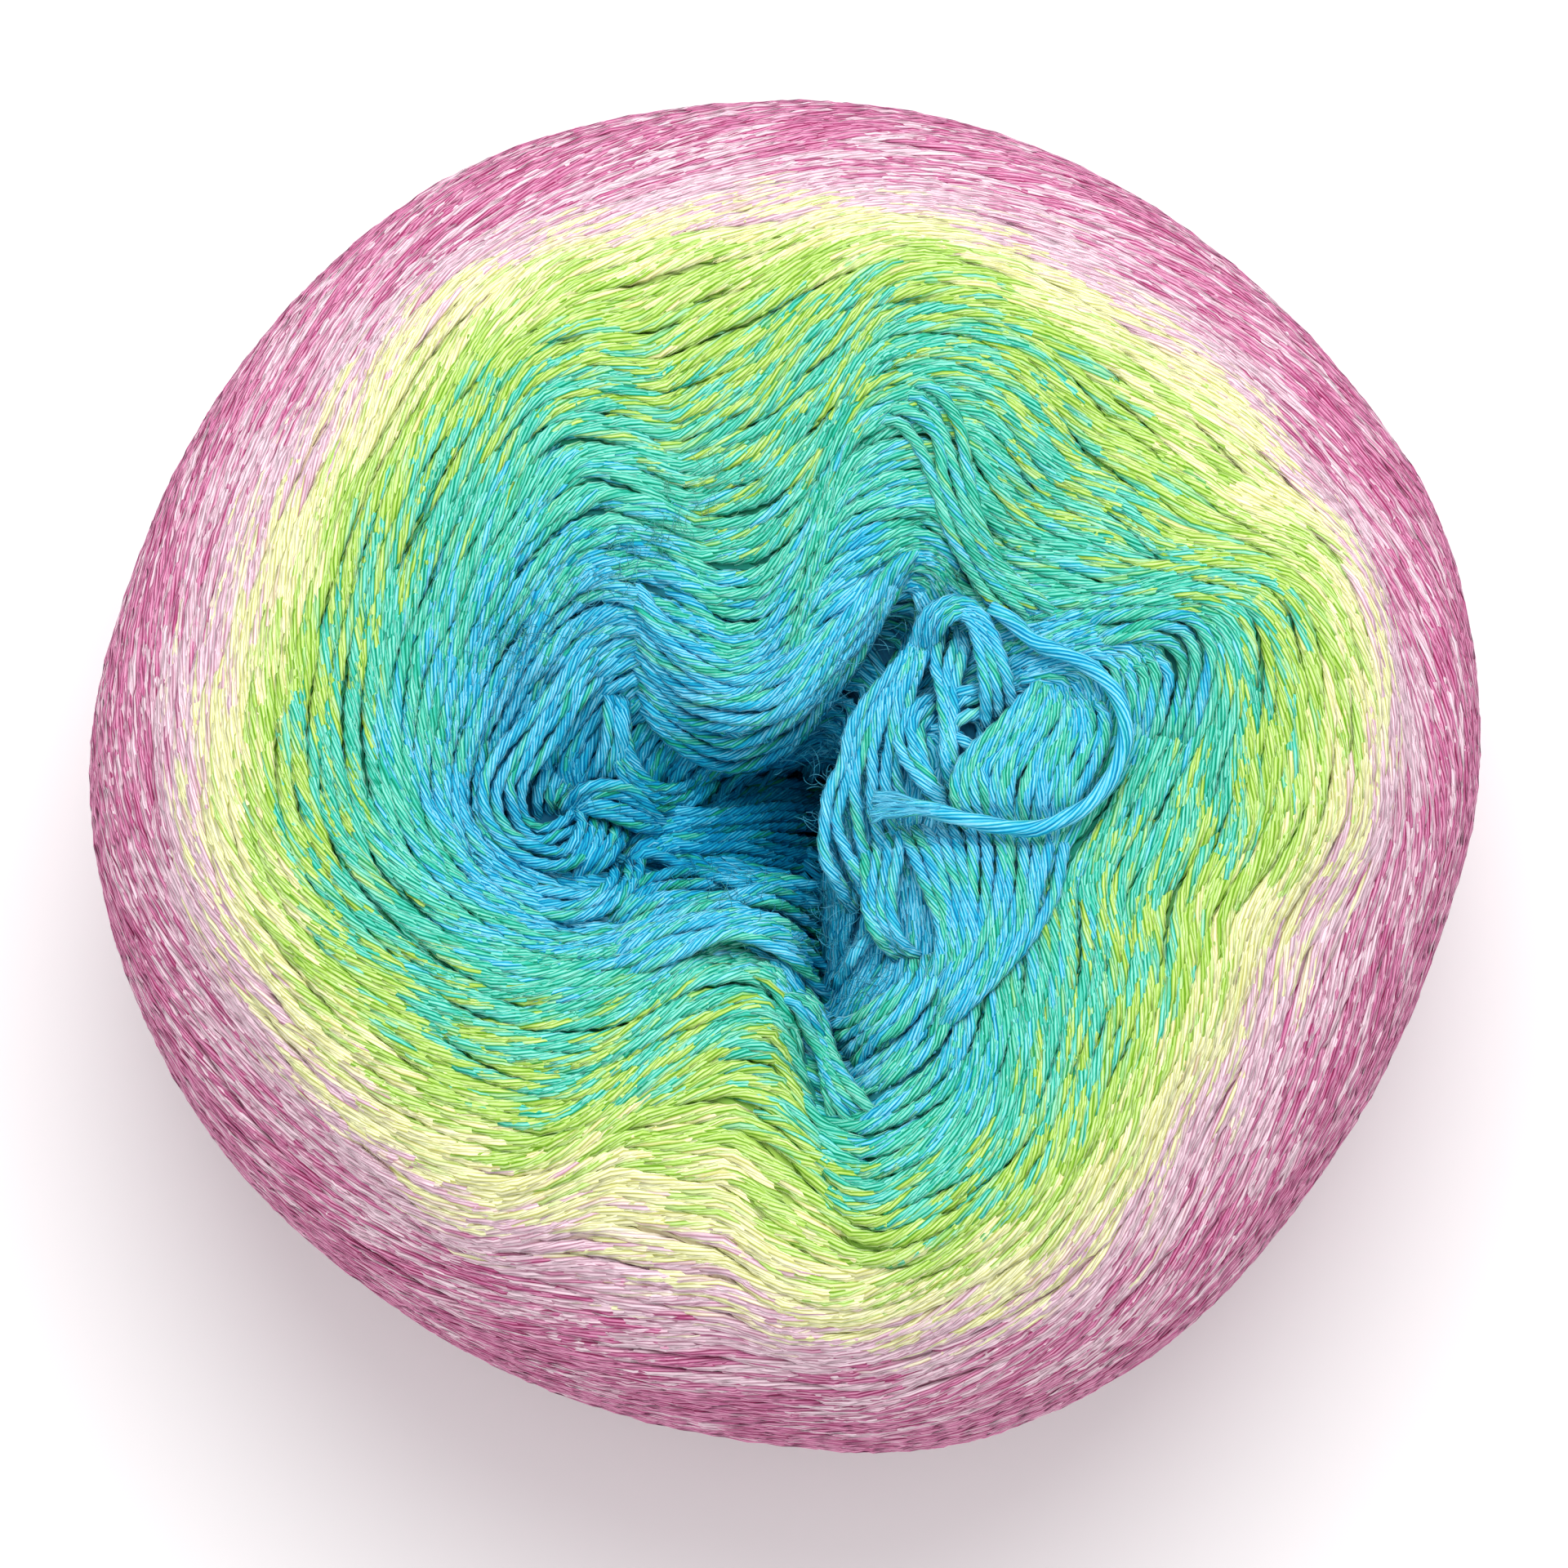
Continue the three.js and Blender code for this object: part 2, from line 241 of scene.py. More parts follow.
class WoundForm:
    """The cake's surface as a grid: rows go round the well by angle, columns along the section.

    A point lies out from the well's axis by its turn's radius, at its turn's level, where both are
    smooth curves through the fold table round the well and through the stations along the section.
    """

    def __init__(self):
        self.last = len(STATIONS) - 1
        self.angles = np.arange(ANGLE_STEPS) / ANGLE_STEPS * TURN
        self.places = np.linspace(0, self.last, self.last * STEPS_PER_STATION + 1)
        self.angle_step = TURN / ANGLE_STEPS
        self.place_step = 1 / STEPS_PER_STATION
        folds = self._folds()
        radius = self._through([size_at(row["radius"], folds) for row in STATIONS])
        level = self._through(
            [size_at(row["level"], folds) + row["lift"] * folds["lift"] for row in STATIONS]
        )
        outward, inward, freedom, self.wind = (
            self._through([row[column] for row in STATIONS])
            for column in ("outward", "inward", "lift", "wind")
        )
        x = mix(WELL_X, THROAT_X, inward) * (1 - outward) + radius * np.cos(self.angles)[:, None]
        y = mix(WELL_Y, THROAT_Y, inward) * (1 - outward) + radius * np.sin(self.angles)[:, None]
        z = level + loose_rise(x, y) * np.minimum(1, 2 * freedom)
        self.radius = radius
        self.points = np.stack([x, y, z], axis=-1)
        around = (np.roll(self.points, -1, 0) - np.roll(self.points, 1, 0)) / (2 * self.angle_step)
        along = np.gradient(self.points, self.place_step, axis=1)
        across = np.cross(along, around)
        self.area = np.linalg.norm(across, axis=-1)
        self.speed = np.linalg.norm(around, axis=-1)
        self.normals = unit(across)

    def _folds(self):
        """Each column of the fold table as a smooth curve of the angle that closes on itself."""
        table = np.array(FOLD_ROWS, float)
        knots = np.radians(np.concatenate([table[:, 0] - 360, table[:, 0], table[:, 0] + 360]))
        values = np.tile(table.T, 3)
        return {
            name: smooth_curve(knots, values[column], self.angles)
            for column, name in enumerate(FOLD_COLUMNS)
            if name != "angle"
        }

    def _through(self, station_values):
        """A smooth curve along the section at every angle through one value for each station."""
        columns = [np.broadcast_to(value, self.angles.shape) for value in station_values]
        knots = np.arange(len(columns), dtype=float)
        return smooth_curve(knots, np.stack(columns, axis=-1), self.places)

    def at(self, field, angle, place):
        """A grid field at any angle and place, blended between the four grid points round it."""
        just_before_last = field.shape[1] - 1.001
        row = np.asarray(angle) / self.angle_step
        column = np.clip(np.asarray(place) / self.place_step, 0, just_before_last)
        low_row, low_column = np.floor(row).astype(int), np.floor(column).astype(int)
        row_share, column_share = row - low_row, column - low_column
        low_row, high_row = low_row % ANGLE_STEPS, (low_row + 1) % ANGLE_STEPS
        if field.ndim == 3:
            row_share, column_share = row_share[..., None], column_share[..., None]
        near = mix(field[low_row, low_column], field[low_row, low_column + 1], column_share)
        far = mix(field[high_row, low_column], field[high_row, low_column + 1], column_share)
        return mix(near, far, row_share)

    def beneath(self, x, y):
        """The angle and place of the top surface's point straight above or below each x and y.

        The place is found by counting the grid columns whose radius is smaller than the point's.
        """
        first, last = station("lip") * STEPS_PER_STATION, station("lime") * STEPS_PER_STATION
        angle = np.arctan2(y - WELL_Y, x - WELL_X) % TURN
        reach = np.hypot(x - WELL_X, y - WELL_Y)
        rows = self.radius[np.round(angle / self.angle_step).astype(int) % ANGLE_STEPS, first:last]
        inner = np.clip((rows < reach[..., None]).sum(axis=-1) - 1, 0, last - first - 2)
        low = np.take_along_axis(rows, inner[..., None], -1)[..., 0]
        high = np.take_along_axis(rows, inner[..., None] + 1, -1)[..., 0]
        share = np.clip((reach - low) / np.maximum(high - low, 1e-6), 0, 1)
        return angle, (first + inner + share) * self.place_step


FORM = WoundForm()

# Rounds of the top that the listed loose strands cover. The turns beneath lie deeper there.
COVER_COLUMNS = ("name", "x", "y", "reach_x", "reach_y")
COVER_ROWS = (
    ("bunch", 13, 1, 10, 11),
    ("oval", 23, -3, 8, 8),
    ("lower bunch", 14, -17, 10, 10),
    ("swirl", -21, -3.5, 8, 10),
    ("wisps", -13, -6, 7, 8),
    ("slope", -5, -15, 10, 8),
)
COVER_DEPTH = 1.5
COVER_EDGE = 1.1
COVER_FADE = 0.3


def covered(x, y):
    """How much deeper the turns lie at a place: all of the cover's depth inside a round, none outside.

    The share falls as a smooth step over the fade, up to the edge, both as shares of the round's reach.
    """
    share = 0
    for cover in named_rows(COVER_COLUMNS, COVER_ROWS):
        reach = np.hypot((x - cover["x"]) / cover["reach_x"], (y - cover["y"]) / cover["reach_y"])
        share = np.maximum(share, smooth_step(np.clip((COVER_EDGE - reach) / COVER_FADE, 0, 1)))
    return share * COVER_DEPTH


def under_cover(grid, places):
    """The covered depth at each point of the top, and none from the cream turns outwards."""
    on_top = np.clip(places - station("lip"), 0, 1) * (places < station("cream"))
    return covered(grid[..., 0], grid[..., 1]) * on_top


# The strands

THREADS = 4
LOBE = 0.13

# Zones of turns between two stations. length is how much of a strand lies in the open with its two
# buried ends, share is how much of that is covered by its neighbours, pitch is the length of one twist,
# slant is how far the strands lean inwards as they go round, stray is how far the colours of
# neighbours differ, and rough is how far one strand stands above the next.
ZONE_COLUMNS = (
    "name", "start", "end", "spacing", "length", "share", "width", "height",
    "sides", "step", "pitch", "slant", "stray", "rough", "pieces",
)
ZONE_ROWS = (
    ("well", 0.6, 3.0, 1.3, 20, 0.45, 1.4, 1.1, 6, 1.8, 11, 3, 0.10, 0.25, 1),
    ("sky", 3.0, 5.0, 1.0, 22, 0.34, 1.4, 1.15, 8, 1.2, 9.5, 6, 0.10, 0.25, 2),
    ("turquoise", 5.0, 6.1, 0.98, 24, 0.33, 1.4, 1.1, 8, 1.3, 11, 8, 0.12, 0.22, 3),
    ("lime", 6.1, 7.1, 1.0, 26, 0.36, 1.55, 1.05, 8, 1.6, 15, 8, 0.16, 0.13, 3),
    ("cream", 7.1, 8.3, 0.95, 30, 0.38, 1.55, 1.0, 8, 2.0, 18, 7, 0.2, 0.1, 2),
    ("pink", 8.3, 9.8, 0.97, 34, 0.38, 1.55, 0.95, 8, 2.4, 20, 7, 0.25, 0.1, 2),
    ("rim", 9.8, 12.0, 1.1, 38, 0.4, 1.5, 0.9, 6, 2.8, 20, 8, 0.2, 0.1, 2),
    ("side", 12.0, 15.0, 1.4, 44, 0.45, 1.7, 0.85, 6, 3.5, 20, 9, 0.15, 0.15, 2),
    ("underside", 15.0, 18.6, 1.6, 36, 0.5, 1.8, 0.8, 6, 3.6, 20, 6, 0.2, 0.12, 1),
)
SINK = 0.55
BURIED = 7.0
BURY_DEPTH = 1.5
CORE_DEPTH = 1.15
PALE_CORE_DEPTH = 0.8
WEDGE_ROWS = 6
PLACE_STRAY = 0.12
SLANT_STRAY = 3
END_ROOM = 0.05
PATTERN_LENGTH = 100
PATTERN_START = 0.125
SEED = 4027
ZONES = {row[0]: dict(zip(ZONE_COLUMNS, row)) for row in ZONE_ROWS}


def spread_over(zone, rng):
    """Middles of the strands of a zone, spread evenly over its area.

    The zone is cut into narrow wedges round the well. Along each wedge the strands stand at equal
    steps of area, and each wedge starts a golden-ratio share of a step further than the last one.
    """
    first = round(zone["start"] * STEPS_PER_STATION)
    last = round(zone["end"] * STEPS_PER_STATION)
    area = FORM.area[:, first:last] * FORM.angle_step * FORM.place_step
    wedges = ANGLE_STEPS // WEDGE_ROWS
    wedge_area = area.reshape(wedges, WEDGE_ROWS, -1).sum(axis=1)
    run = np.cumsum(wedge_area, axis=1)
    room = zone["spacing"] * zone["length"] * zone["share"]
    places = np.arange(first, last) * FORM.place_step
    angles, middles = [], []
    for wedge in range(wedges):
        start = (wedge * GOLDEN) % 1
        count = max(0, int(run[wedge, -1] / room - start) + 1)
        steps = (np.arange(count) + start + rng.uniform(-PLACE_STRAY, PLACE_STRAY, count)) * room
        steps = np.clip(steps, 0, run[wedge, -1] * 0.9999)
        middles.append(np.interp(steps, run[wedge], places))
        angles.append((wedge + rng.uniform(0, 1, count)) * WEDGE_ROWS * FORM.angle_step)
    return np.concatenate(angles), np.concatenate(middles)


def walk(angle, place, steps, step, slant):
    """Follows the turns from a middle for some steps, leaning inwards by the slant.

    Each step goes along the turn by its length over the turn's speed, and across the turns by the
    slant's share of the step over the room between the turns there.
    """
    route = [(angle, place)]
    for _ in range(steps):
        speed = FORM.at(FORM.speed, angle, place)
        area = FORM.at(FORM.area, angle, place)
        angle = angle + step * np.cos(slant) / speed
        place = place - step * np.sin(slant) * speed / np.maximum(area, 1e-6)
        place = np.clip(place, END_ROOM, FORM.last - END_ROOM)
        route.append((angle, place))
    return np.array([r[0] for r in route]).T, np.array([r[1] for r in route]).T


def lay_turns(zone, rng):
    """Middle lines, outward directions and winds of the strands of a zone."""
    angle, place = spread_over(zone, rng)
    count = len(angle)
    half = int(round(zone["length"] / 2 / zone["step"]))
    slant = np.radians(zone["slant"] + rng.normal(0, SLANT_STRAY, count))
    ahead = walk(angle, place, half, zone["step"], slant)
    behind = walk(angle, place, half, -zone["step"], slant)
    angles = np.concatenate([behind[0][:, :0:-1], ahead[0]], axis=1)
    places = np.concatenate([behind[1][:, :0:-1], ahead[1]], axis=1)
    points = FORM.at(FORM.points, angles, places)
    normals = unit(FORM.at(FORM.normals, angles, places))
    run = np.abs(np.arange(-half, half + 1)) * zone["step"]
    share = np.clip((run - (zone["length"] / 2 - BURIED)) / BURIED, 0, 1)
    bury = BURY_DEPTH * smooth_step(share)
    depth = SINK + bury + rng.uniform(-1, 1, (count, 1)) * zone["rough"] + under_cover(points, places)
    points = points - normals * depth[..., None]
    wind = FORM.at(FORM.wind, angle, place) + rng.uniform(-1, 1, count) * zone["stray"]
    return points, normals, wind, angle % TURN


def strand_mesh(lines, normals, winds, width, height, sides, pitch, phase, lobe=LOBE):
    """Vertices, faces, pattern places and winds of twisted strands along the middle lines.

    The section is an oval with a lobe for each thread, width across the surface and height out of it:
    its reach is 1 plus the lobe times the cosine of the threads times the turn. It turns once in each
    pitch as it is carried along its line. Both ends are closed by a flat face. The pattern runs along
    the strand by its length, and round it from the middle of a thread, so that threads part in a groove.
    """
    count, steps, _ = lines.shape
    along = unit(np.gradient(lines, axis=1))
    beside = unit(np.cross(along, normals))
    out = np.cross(beside, along)
    gaps = np.linalg.norm(np.diff(lines, axis=1), axis=-1)
    run = np.concatenate([np.zeros((count, 1)), np.cumsum(gaps, axis=1)], axis=1)
    turns = np.arange(sides) / sides * TURN
    reach = 1 + lobe * np.cos(THREADS * turns)
    turned = turns + (run / pitch * TURN + phase[:, None])[..., None]
    sideways = np.cos(turned) * reach * width / 2
    upwards = np.sin(turned) * reach * height / 2
    corners = (
        lines[:, :, None]
        + beside[:, :, None] * sideways[..., None]
        + out[:, :, None] * upwards[..., None]
    )
    index = np.arange(count * steps * sides).reshape(count, steps, sides)
    following = np.roll(index, -1, axis=2)
    quads = np.stack([index[:, :-1], following[:, :-1], following[:, 1:], index[:, 1:]], axis=-1)
    caps = np.concatenate([index[:, 0, ::-1], index[:, -1]], axis=0)
    side_share = np.arange(sides + 1) / sides + PATTERN_START
    u = np.broadcast_to(run[..., None] / PATTERN_LENGTH, (count, steps, sides + 1))
    v = np.broadcast_to(side_share, (count, steps, sides + 1))
    grid = np.stack([u, v], axis=-1)
    quad_uv = np.stack([grid[:, :-1, :-1], grid[:, :-1, 1:], grid[:, 1:, 1:], grid[:, 1:, :-1]], axis=-2)
    cap_uv = np.concatenate([grid[:, 0, :-1][:, ::-1], grid[:, -1, :-1]], axis=0)
    wind = np.broadcast_to(winds[:, None, None], (count, steps, sides))
    return {
        "points": corners.reshape(-1, 3),
        "quads": quads.reshape(-1, 4),
        "caps": caps,
        "uv": np.concatenate([quad_uv.reshape(-1, 2), cap_uv.reshape(-1, 2)]),
        "wind": wind.reshape(-1),
    }


def lone_strand(line, wind, phase, width, height, sides, pitch):
    """The mesh of one strand on top of the cake, with its height upwards."""
    up = np.broadcast_to(UP, line.shape)
    return strand_mesh(line[None], up[None], wind, width, height, sides, pitch, phase)


def join(meshes):
    """One mesh of several, with the corners of each counted on from those before it."""
    start = 0
    quads, caps = [], []
    for mesh in meshes:
        quads.append(mesh["quads"] + start)
        caps.append(mesh["caps"] + start)
        start += len(mesh["points"])
    quad_uv = [mesh["uv"][: mesh["quads"].size] for mesh in meshes]
    cap_uv = [mesh["uv"][mesh["quads"].size:] for mesh in meshes]
    return {
        "points": np.concatenate([mesh["points"] for mesh in meshes]),
        "quads": np.concatenate(quads),
        "caps": np.concatenate(caps),
        "uv": np.concatenate(quad_uv + cap_uv),
        "wind": np.concatenate([mesh["wind"] for mesh in meshes]),
    }


def put_object(name, data):
    """A new object at the origin, in the scene's collection."""
    made = bpy.data.objects.new(name, data)
    bpy.context.scene.collection.objects.link(made)
    return made


def put_piece(name, mesh, material):
    """Puts a worked-out mesh, in millimetres, into the scene as a piece in metres."""
    data = bpy.data.meshes.new(name)
    quads, caps = mesh["quads"], mesh["caps"]
    data.vertices.add(len(mesh["points"]))
    data.vertices.foreach_set("co", (mesh["points"] * MM).astype(np.float32).ravel())
    corners = np.concatenate([quads.ravel(), caps.ravel()]).astype(np.int32)
    cap_sides = caps.shape[1] if len(caps) else 0
    quad_starts = np.arange(len(quads)) * 4
    cap_starts = quads.size + np.arange(len(caps)) * cap_sides
    starts = np.concatenate([quad_starts, cap_starts]).astype(np.int32)
    data.loops.add(len(corners))
    data.loops.foreach_set("vertex_index", corners)
    data.polygons.add(len(starts))
    data.polygons.foreach_set("loop_start", starts)
    layer = data.uv_layers.new(name="strand")
    layer.data.foreach_set("uv", mesh["uv"].astype(np.float32).ravel())
    wind = data.attributes.new("wind", "FLOAT", "POINT")
    wind.data.foreach_set("value", mesh["wind"].astype(np.float32))
    data.update(calc_edges=True)
    data.validate()
    data.shade_smooth()
    data.materials.append(material)
    piece = put_object(name, data)
    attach(piece, BODY)
    return piece


def lay_zone(name):
    """Lays a zone's strands and splits them round the well into its number of pieces."""
    zone = ZONES[name]
    rng = np.random.default_rng(SEED + list(ZONES).index(name))
    lines, normals, winds, angles = lay_turns(zone, rng)
    phases = rng.uniform(0, TURN, len(lines))
    sector = np.floor(angles / TURN * zone["pieces"]).astype(int) % zone["pieces"]
    for number in range(zone["pieces"]):
        chosen = sector == number
        mesh = strand_mesh(
            lines[chosen], normals[chosen], winds[chosen], zone["width"], zone["height"],
            zone["sides"], zone["pitch"], phases[chosen],
        )
        piece_name = f"{name}_turns_{number + 1}" if zone["pieces"] > 1 else f"{name}_turns"
        put_piece(piece_name, mesh, strand_finish())


# The core under the strands

CORE_ANGLES = 200
CORE_ROWS = 6
PALE_CORE_WIND = 3.6
POLE_WINDS = (5.4, 5.3)


def core_mesh():
    """The wound form a strand's depth down, as one closed skin from the well's floor to the socket.

    Each point is the surface's point moved in along the normal. The two ends close at a pole.
    """
    angle = np.arange(CORE_ANGLES) / CORE_ANGLES * TURN
    place = np.linspace(0, FORM.last, FORM.last * CORE_ROWS + 1)[1:-1]
    angles, places = np.meshgrid(angle, place, indexing="ij")
    grid = FORM.at(FORM.points, angles, places)
    wind = FORM.at(FORM.wind, angles, places)
    depth = mix(CORE_DEPTH, PALE_CORE_DEPTH, np.clip(PALE_CORE_WIND - wind, 0, 1))
    depth = depth + under_cover(grid, places)
    grid = grid - unit(FORM.at(FORM.normals, angles, places)) * depth[..., None]
    rows = len(place)
    pole_levels = (WELL_FLOOR_LEVEL - CORE_DEPTH, SOCKET_TOP_LEVEL + CORE_DEPTH)
    pole_places = ((THROAT_X, THROAT_Y), (WELL_X, WELL_Y))
    poles = np.array([[*place, level] for place, level in zip(pole_places, pole_levels)])
    index = np.arange(CORE_ANGLES * rows).reshape(CORE_ANGLES, rows)
    beside = np.roll(index, -1, axis=0)
    quads = np.stack([index[:, :-1], index[:, 1:], beside[:, 1:], beside[:, :-1]], axis=-1).reshape(-1, 4)
    floor, top = CORE_ANGLES * rows, CORE_ANGLES * rows + 1
    fans = np.concatenate([
        np.stack([np.full(CORE_ANGLES, floor), index[:, 0], beside[:, 0]], axis=-1),
        np.stack([np.full(CORE_ANGLES, top), beside[:, -1], index[:, -1]], axis=-1),
    ])
    u = np.append(np.repeat(angle, rows), [0, 0])
    v = np.append(np.tile(place, CORE_ANGLES), [0, FORM.last])
    uv = np.stack([u, v], axis=-1)
    corners = np.concatenate([quads.ravel(), fans.ravel()])
    return {
        "points": np.concatenate([grid.reshape(-1, 3), poles]),
        "quads": quads,
        "caps": fans,
        "uv": uv[corners],
        "wind": np.append(wind.ravel(), POLE_WINDS),
    }


# The finish

COLOURS = (
    ("Magenta", (0.54, 0.13, 0.30)),
    ("Pale pink", (0.71, 0.49, 0.58)),
    ("Cream", (0.76, 0.76, 0.40)),
    ("Lime", (0.39, 0.61, 0.10)),
    ("Turquoise", (0.028, 0.51, 0.37)),
    ("Blue", (0.01, 0.45, 0.67)),
)
DYE_CHANGE = 0.3
PLIES = 12

# How fine each pattern is along a strand, round it, and from the wind of one strand to the next. The
# core's rings lie round the well and across the turns instead.
FIBRE_SCALES = (32, 22, 17)
PATCH_SCALES = (12, 2, 23)
PLY_SCALES = (6, 1, 29)
RING_SCALES = (5, 22, 1)

# How far the fibres bend the bounds of the threads and plies, as a share of the way round.
FIBRE_WAVER = 0.04
PLY_WAVER = 0.06
GROOVE_POWER = 3
SEAM_POWER = 1.5
FIBRE_RISE = 0.5
SEAM_DEPTH = 0.6
YARN_RELIEF = 0.00015

# How far each pattern moves the tone, from the painted deep shade at 0 to the tint, a painted highlight, at
# 1.
BASE_TONE = 0.99
FIBRE_TONE = 1.7
PATCH_TONE = 0.5
PLY_TONE = 0.6
SEAM_SHADE = 0.84
LOW_SHADE = 0.5
PLY_DYE_SPREAD = 1.3
HIGHLIGHT_BRIGHTENING = (1.35, 1.35, 1.35, 1)
HIGHLIGHT_WHITENING = 0.25

# Level in metres under which the turns past the shade's wind get painted shade, and over how much it grows.
SHADE_LEVEL = 0.0785
SHADE_REACH = 0.016
SHADE_WIND = 3.4
SHADE_WIND_RATE = 1.5

# The core's painted shade: its tone, how much paler it is before the pale wind, and its deep shade past the
# deep wind.
CORE_TONE = 0.08
RING_TONE = 0.9
PALE_TONE = 0.4
PALE_WIND = 3.9
PALE_WIND_RATE = 0.7
DEEP_SHADE = (0.0, 0.03, 0.06, 1)
DEEP_SHARE = 0.6
DEEP_WIND = 3.7
CORE_RELIEF = 0.0004


class Socket:
    """A shader value that takes part in Python sums. Each operator adds its Math node."""

    def __init__(self, tree, link):
        self.tree = tree
        self.link = link

    def _math(self, operation, *values):
        return self.tree.node("ShaderNodeMath", {"operation": operation}, *values)

    def __add__(self, other):
        return self._math("ADD", self, other)

    def __sub__(self, other):
        return self._math("SUBTRACT", self, other)

    def __mul__(self, other):
        return self._math("MULTIPLY", self, other)

    def __truediv__(self, other):
        return self._math("DIVIDE", self, other)

    def __rsub__(self, other):
        return self._math("SUBTRACT", other, self)

    def __pow__(self, other):
        return self._math("POWER", self, other)

    __radd__ = __add__
    __rmul__ = __mul__

    def floor(self):
        return self._math("FLOOR", self)

    def fraction(self):
        return self._math("FRACT", self)

    def size(self):
        return self._math("ABSOLUTE", self)

    def limited(self):
        return self.tree.node("ShaderNodeClamp", None, self)


class NodeTree:
    """The node tree of a material, whose nodes are made one by one with their values."""

    def __init__(self, name):
        self.material = bpy.data.materials.new(name)
        self.material.use_nodes = True
        self.nodes = self.material.node_tree.nodes
        self.links = self.material.node_tree.links
        self.nodes.clear()

    def node(self, kind, settings=None, *values, output=0, **named):
        """Makes a node: its settings first, then its sockets by order or by name."""
        made = self.nodes.new(kind)
        for key, value in (settings or {}).items():
            if key == "stops":
                self._fill_ramp(made.color_ramp, value)
            else:
                setattr(made, key, value)
        for index, value in enumerate(values):
            self._feed(made.inputs[index], value)
        for key, value in named.items():
            self._feed(made.inputs[key.replace("_", " ")], value)
        return Socket(self, made.outputs[output]) if made.outputs else None

    def _feed(self, socket, value):
        if isinstance(value, Socket):
            self.links.new(value.link, socket)
        else:
            socket.default_value = value

    def _fill_ramp(self, ramp, stops):
        while len(ramp.elements) < len(stops):
            ramp.elements.new(1)
        for element, (position, colour) in zip(ramp.elements, stops):
            element.position = position
            element.color = (*colour, 1)

    def parts(self, vector):
        """The three numbers of a vector."""
        made = self.node("ShaderNodeSeparateXYZ", None, vector).link.node
        return [Socket(self, output) for output in made.outputs]

    def noise(self, place, scales, **settings):
        """Noise at a place of three numbers, each times its scale."""
        scaled = [number * scale for number, scale in zip(place, scales)]
        point = self.node("ShaderNodeCombineXYZ", None, *scaled)
        return self.node("ShaderNodeTexNoise", {"noise_dimensions": "3D"}, point, **settings)

    def finish(self, **sockets):
        """The material with a Principled shader that has the given sockets."""
        shader = self.node("ShaderNodeBsdfPrincipled", None, **sockets)
        self.node("ShaderNodeOutputMaterial", None, shader)
        return self.material

    def blend(self, factor, one, other, mode="MIX"):
        """A colour between two, by a Mix node."""
        settings = {"data_type": "RGBA", "blend_type": mode}
        made = self.node("ShaderNodeMix", settings, output=2)
        mixer = made.link.node
        self._feed(mixer.inputs[0], factor)
        self._feed(mixer.inputs[6], one)
        self._feed(mixer.inputs[7], other)
        return made


def dye_stops(colours, change):
    """Stops of a ramp that holds each dye for its stretch and blends over the change about each bound."""
    stops = [(0.0, colours[0])]
    for index in range(1, len(colours)):
        stops.append(((index - change / 2) / len(colours), colours[index - 1]))
        stops.append(((index + change / 2) / len(colours), colours[index]))
    return stops


def shades(tree, dye, tone):
    """A dye from its deep shade at tone 0, through itself at a half, to its pale tint at 1.

    The deep shade is painted shade: the dye times itself, which is darker and richer. The tint is a
    painted highlight: a brighter dye mixed with white.
    """
    deep = tree.blend(1.0, dye, dye, "MULTIPLY")
    bright = tree.blend(1.0, dye, HIGHLIGHT_BRIGHTENING, "MULTIPLY")
    tint = tree.blend(HIGHLIGHT_WHITENING, bright, (1, 1, 1, 1))
    low = tree.blend(tone * 2, deep, dye)
    return tree.blend(tone * 2 - 1, low, tint)


def yarn_material(name, settings):
    """Twisted four-thread yarn.

    The thread that a point lies on is the whole number of quarters round the strand, and each thread is
    made of plies. A ply has the colour that the wind has reached when a quarter is added for each thread
    and a little of its own is added for the ply. The crown of each ply is a painted highlight, the grooves
    between threads and between plies are painted shade, fine fibres run along the plies in deep and pale
    streaks, and the blue and turquoise turns get more painted shade the lower they lie.
    """
    tree = NodeTree(name)
    along, around, _ = tree.parts(tree.node("ShaderNodeUVMap", {"uv_map": "strand"}))
    level = tree.parts(tree.node("ShaderNodeTexCoord", output=3))[2]
    wind = tree.node("ShaderNodeAttribute", {"attribute_name": "wind"}, output=2)
    place = (along, around, wind)
    fibre = tree.noise(place, FIBRE_SCALES, Scale=1.0, Detail=4.0, Roughness=0.65)
    patch = tree.noise(place, PATCH_SCALES, Scale=1.0, Detail=1.0)
    quarter = (around + (fibre - 0.5) * FIBRE_WAVER) * THREADS
    thread = (quarter.floor() + 0.5) / THREADS
    thread = thread - (thread - 0.001).floor()
    ply = (around + (fibre - 0.5) * PLY_WAVER) * PLIES
    ply_lot = tree.noise((along, ply.floor(), wind), PLY_SCALES, Scale=0.97, Detail=0.0)
    stops = dye_stops([tuple(colour) for colour in settings.colours()], DYE_CHANGE)
    run = wind + thread + (ply_lot - 0.5) * PLY_DYE_SPREAD
    dye = tree.node("ShaderNodeValToRGB", {"stops": stops}, run / len(COLOURS))
    # Painted shade in the grooves between threads and the seams between plies; both masks also shape the
    # bump.
    groove = ((quarter.fraction() - 0.5).size() * 2) ** GROOVE_POWER
    seam = ((ply.fraction() - 0.5).size() * 2) ** SEAM_POWER
    # Painted shade: the blue and turquoise turns are darkened the lower they lie.
    depth = ((SHADE_LEVEL - level) / SHADE_REACH).limited()
    low = depth * ((wind - SHADE_WIND) * SHADE_WIND_RATE).limited()
    streaks = (fibre - 0.5) * FIBRE_TONE + (patch - 0.5) * PATCH_TONE + (ply_lot - 0.5) * PLY_TONE
    # Tone near 1 paints a highlight on the ply crowns; seams, grooves and low turns take it down to painted
    # shade.
    tone = BASE_TONE + streaks - seam * SEAM_SHADE - groove * settings.groove - low * LOW_SHADE
    colour = shades(tree, dye, tone.limited())
    rise = fibre * FIBRE_RISE - groove - seam * SEAM_DEPTH
    normal = tree.node("ShaderNodeBump", None, Strength=0.6, Distance=YARN_RELIEF, Height=rise)
    return tree.finish(Base_Color=colour, Roughness=0.6, Specular_IOR_Level=0.12, Normal=normal)


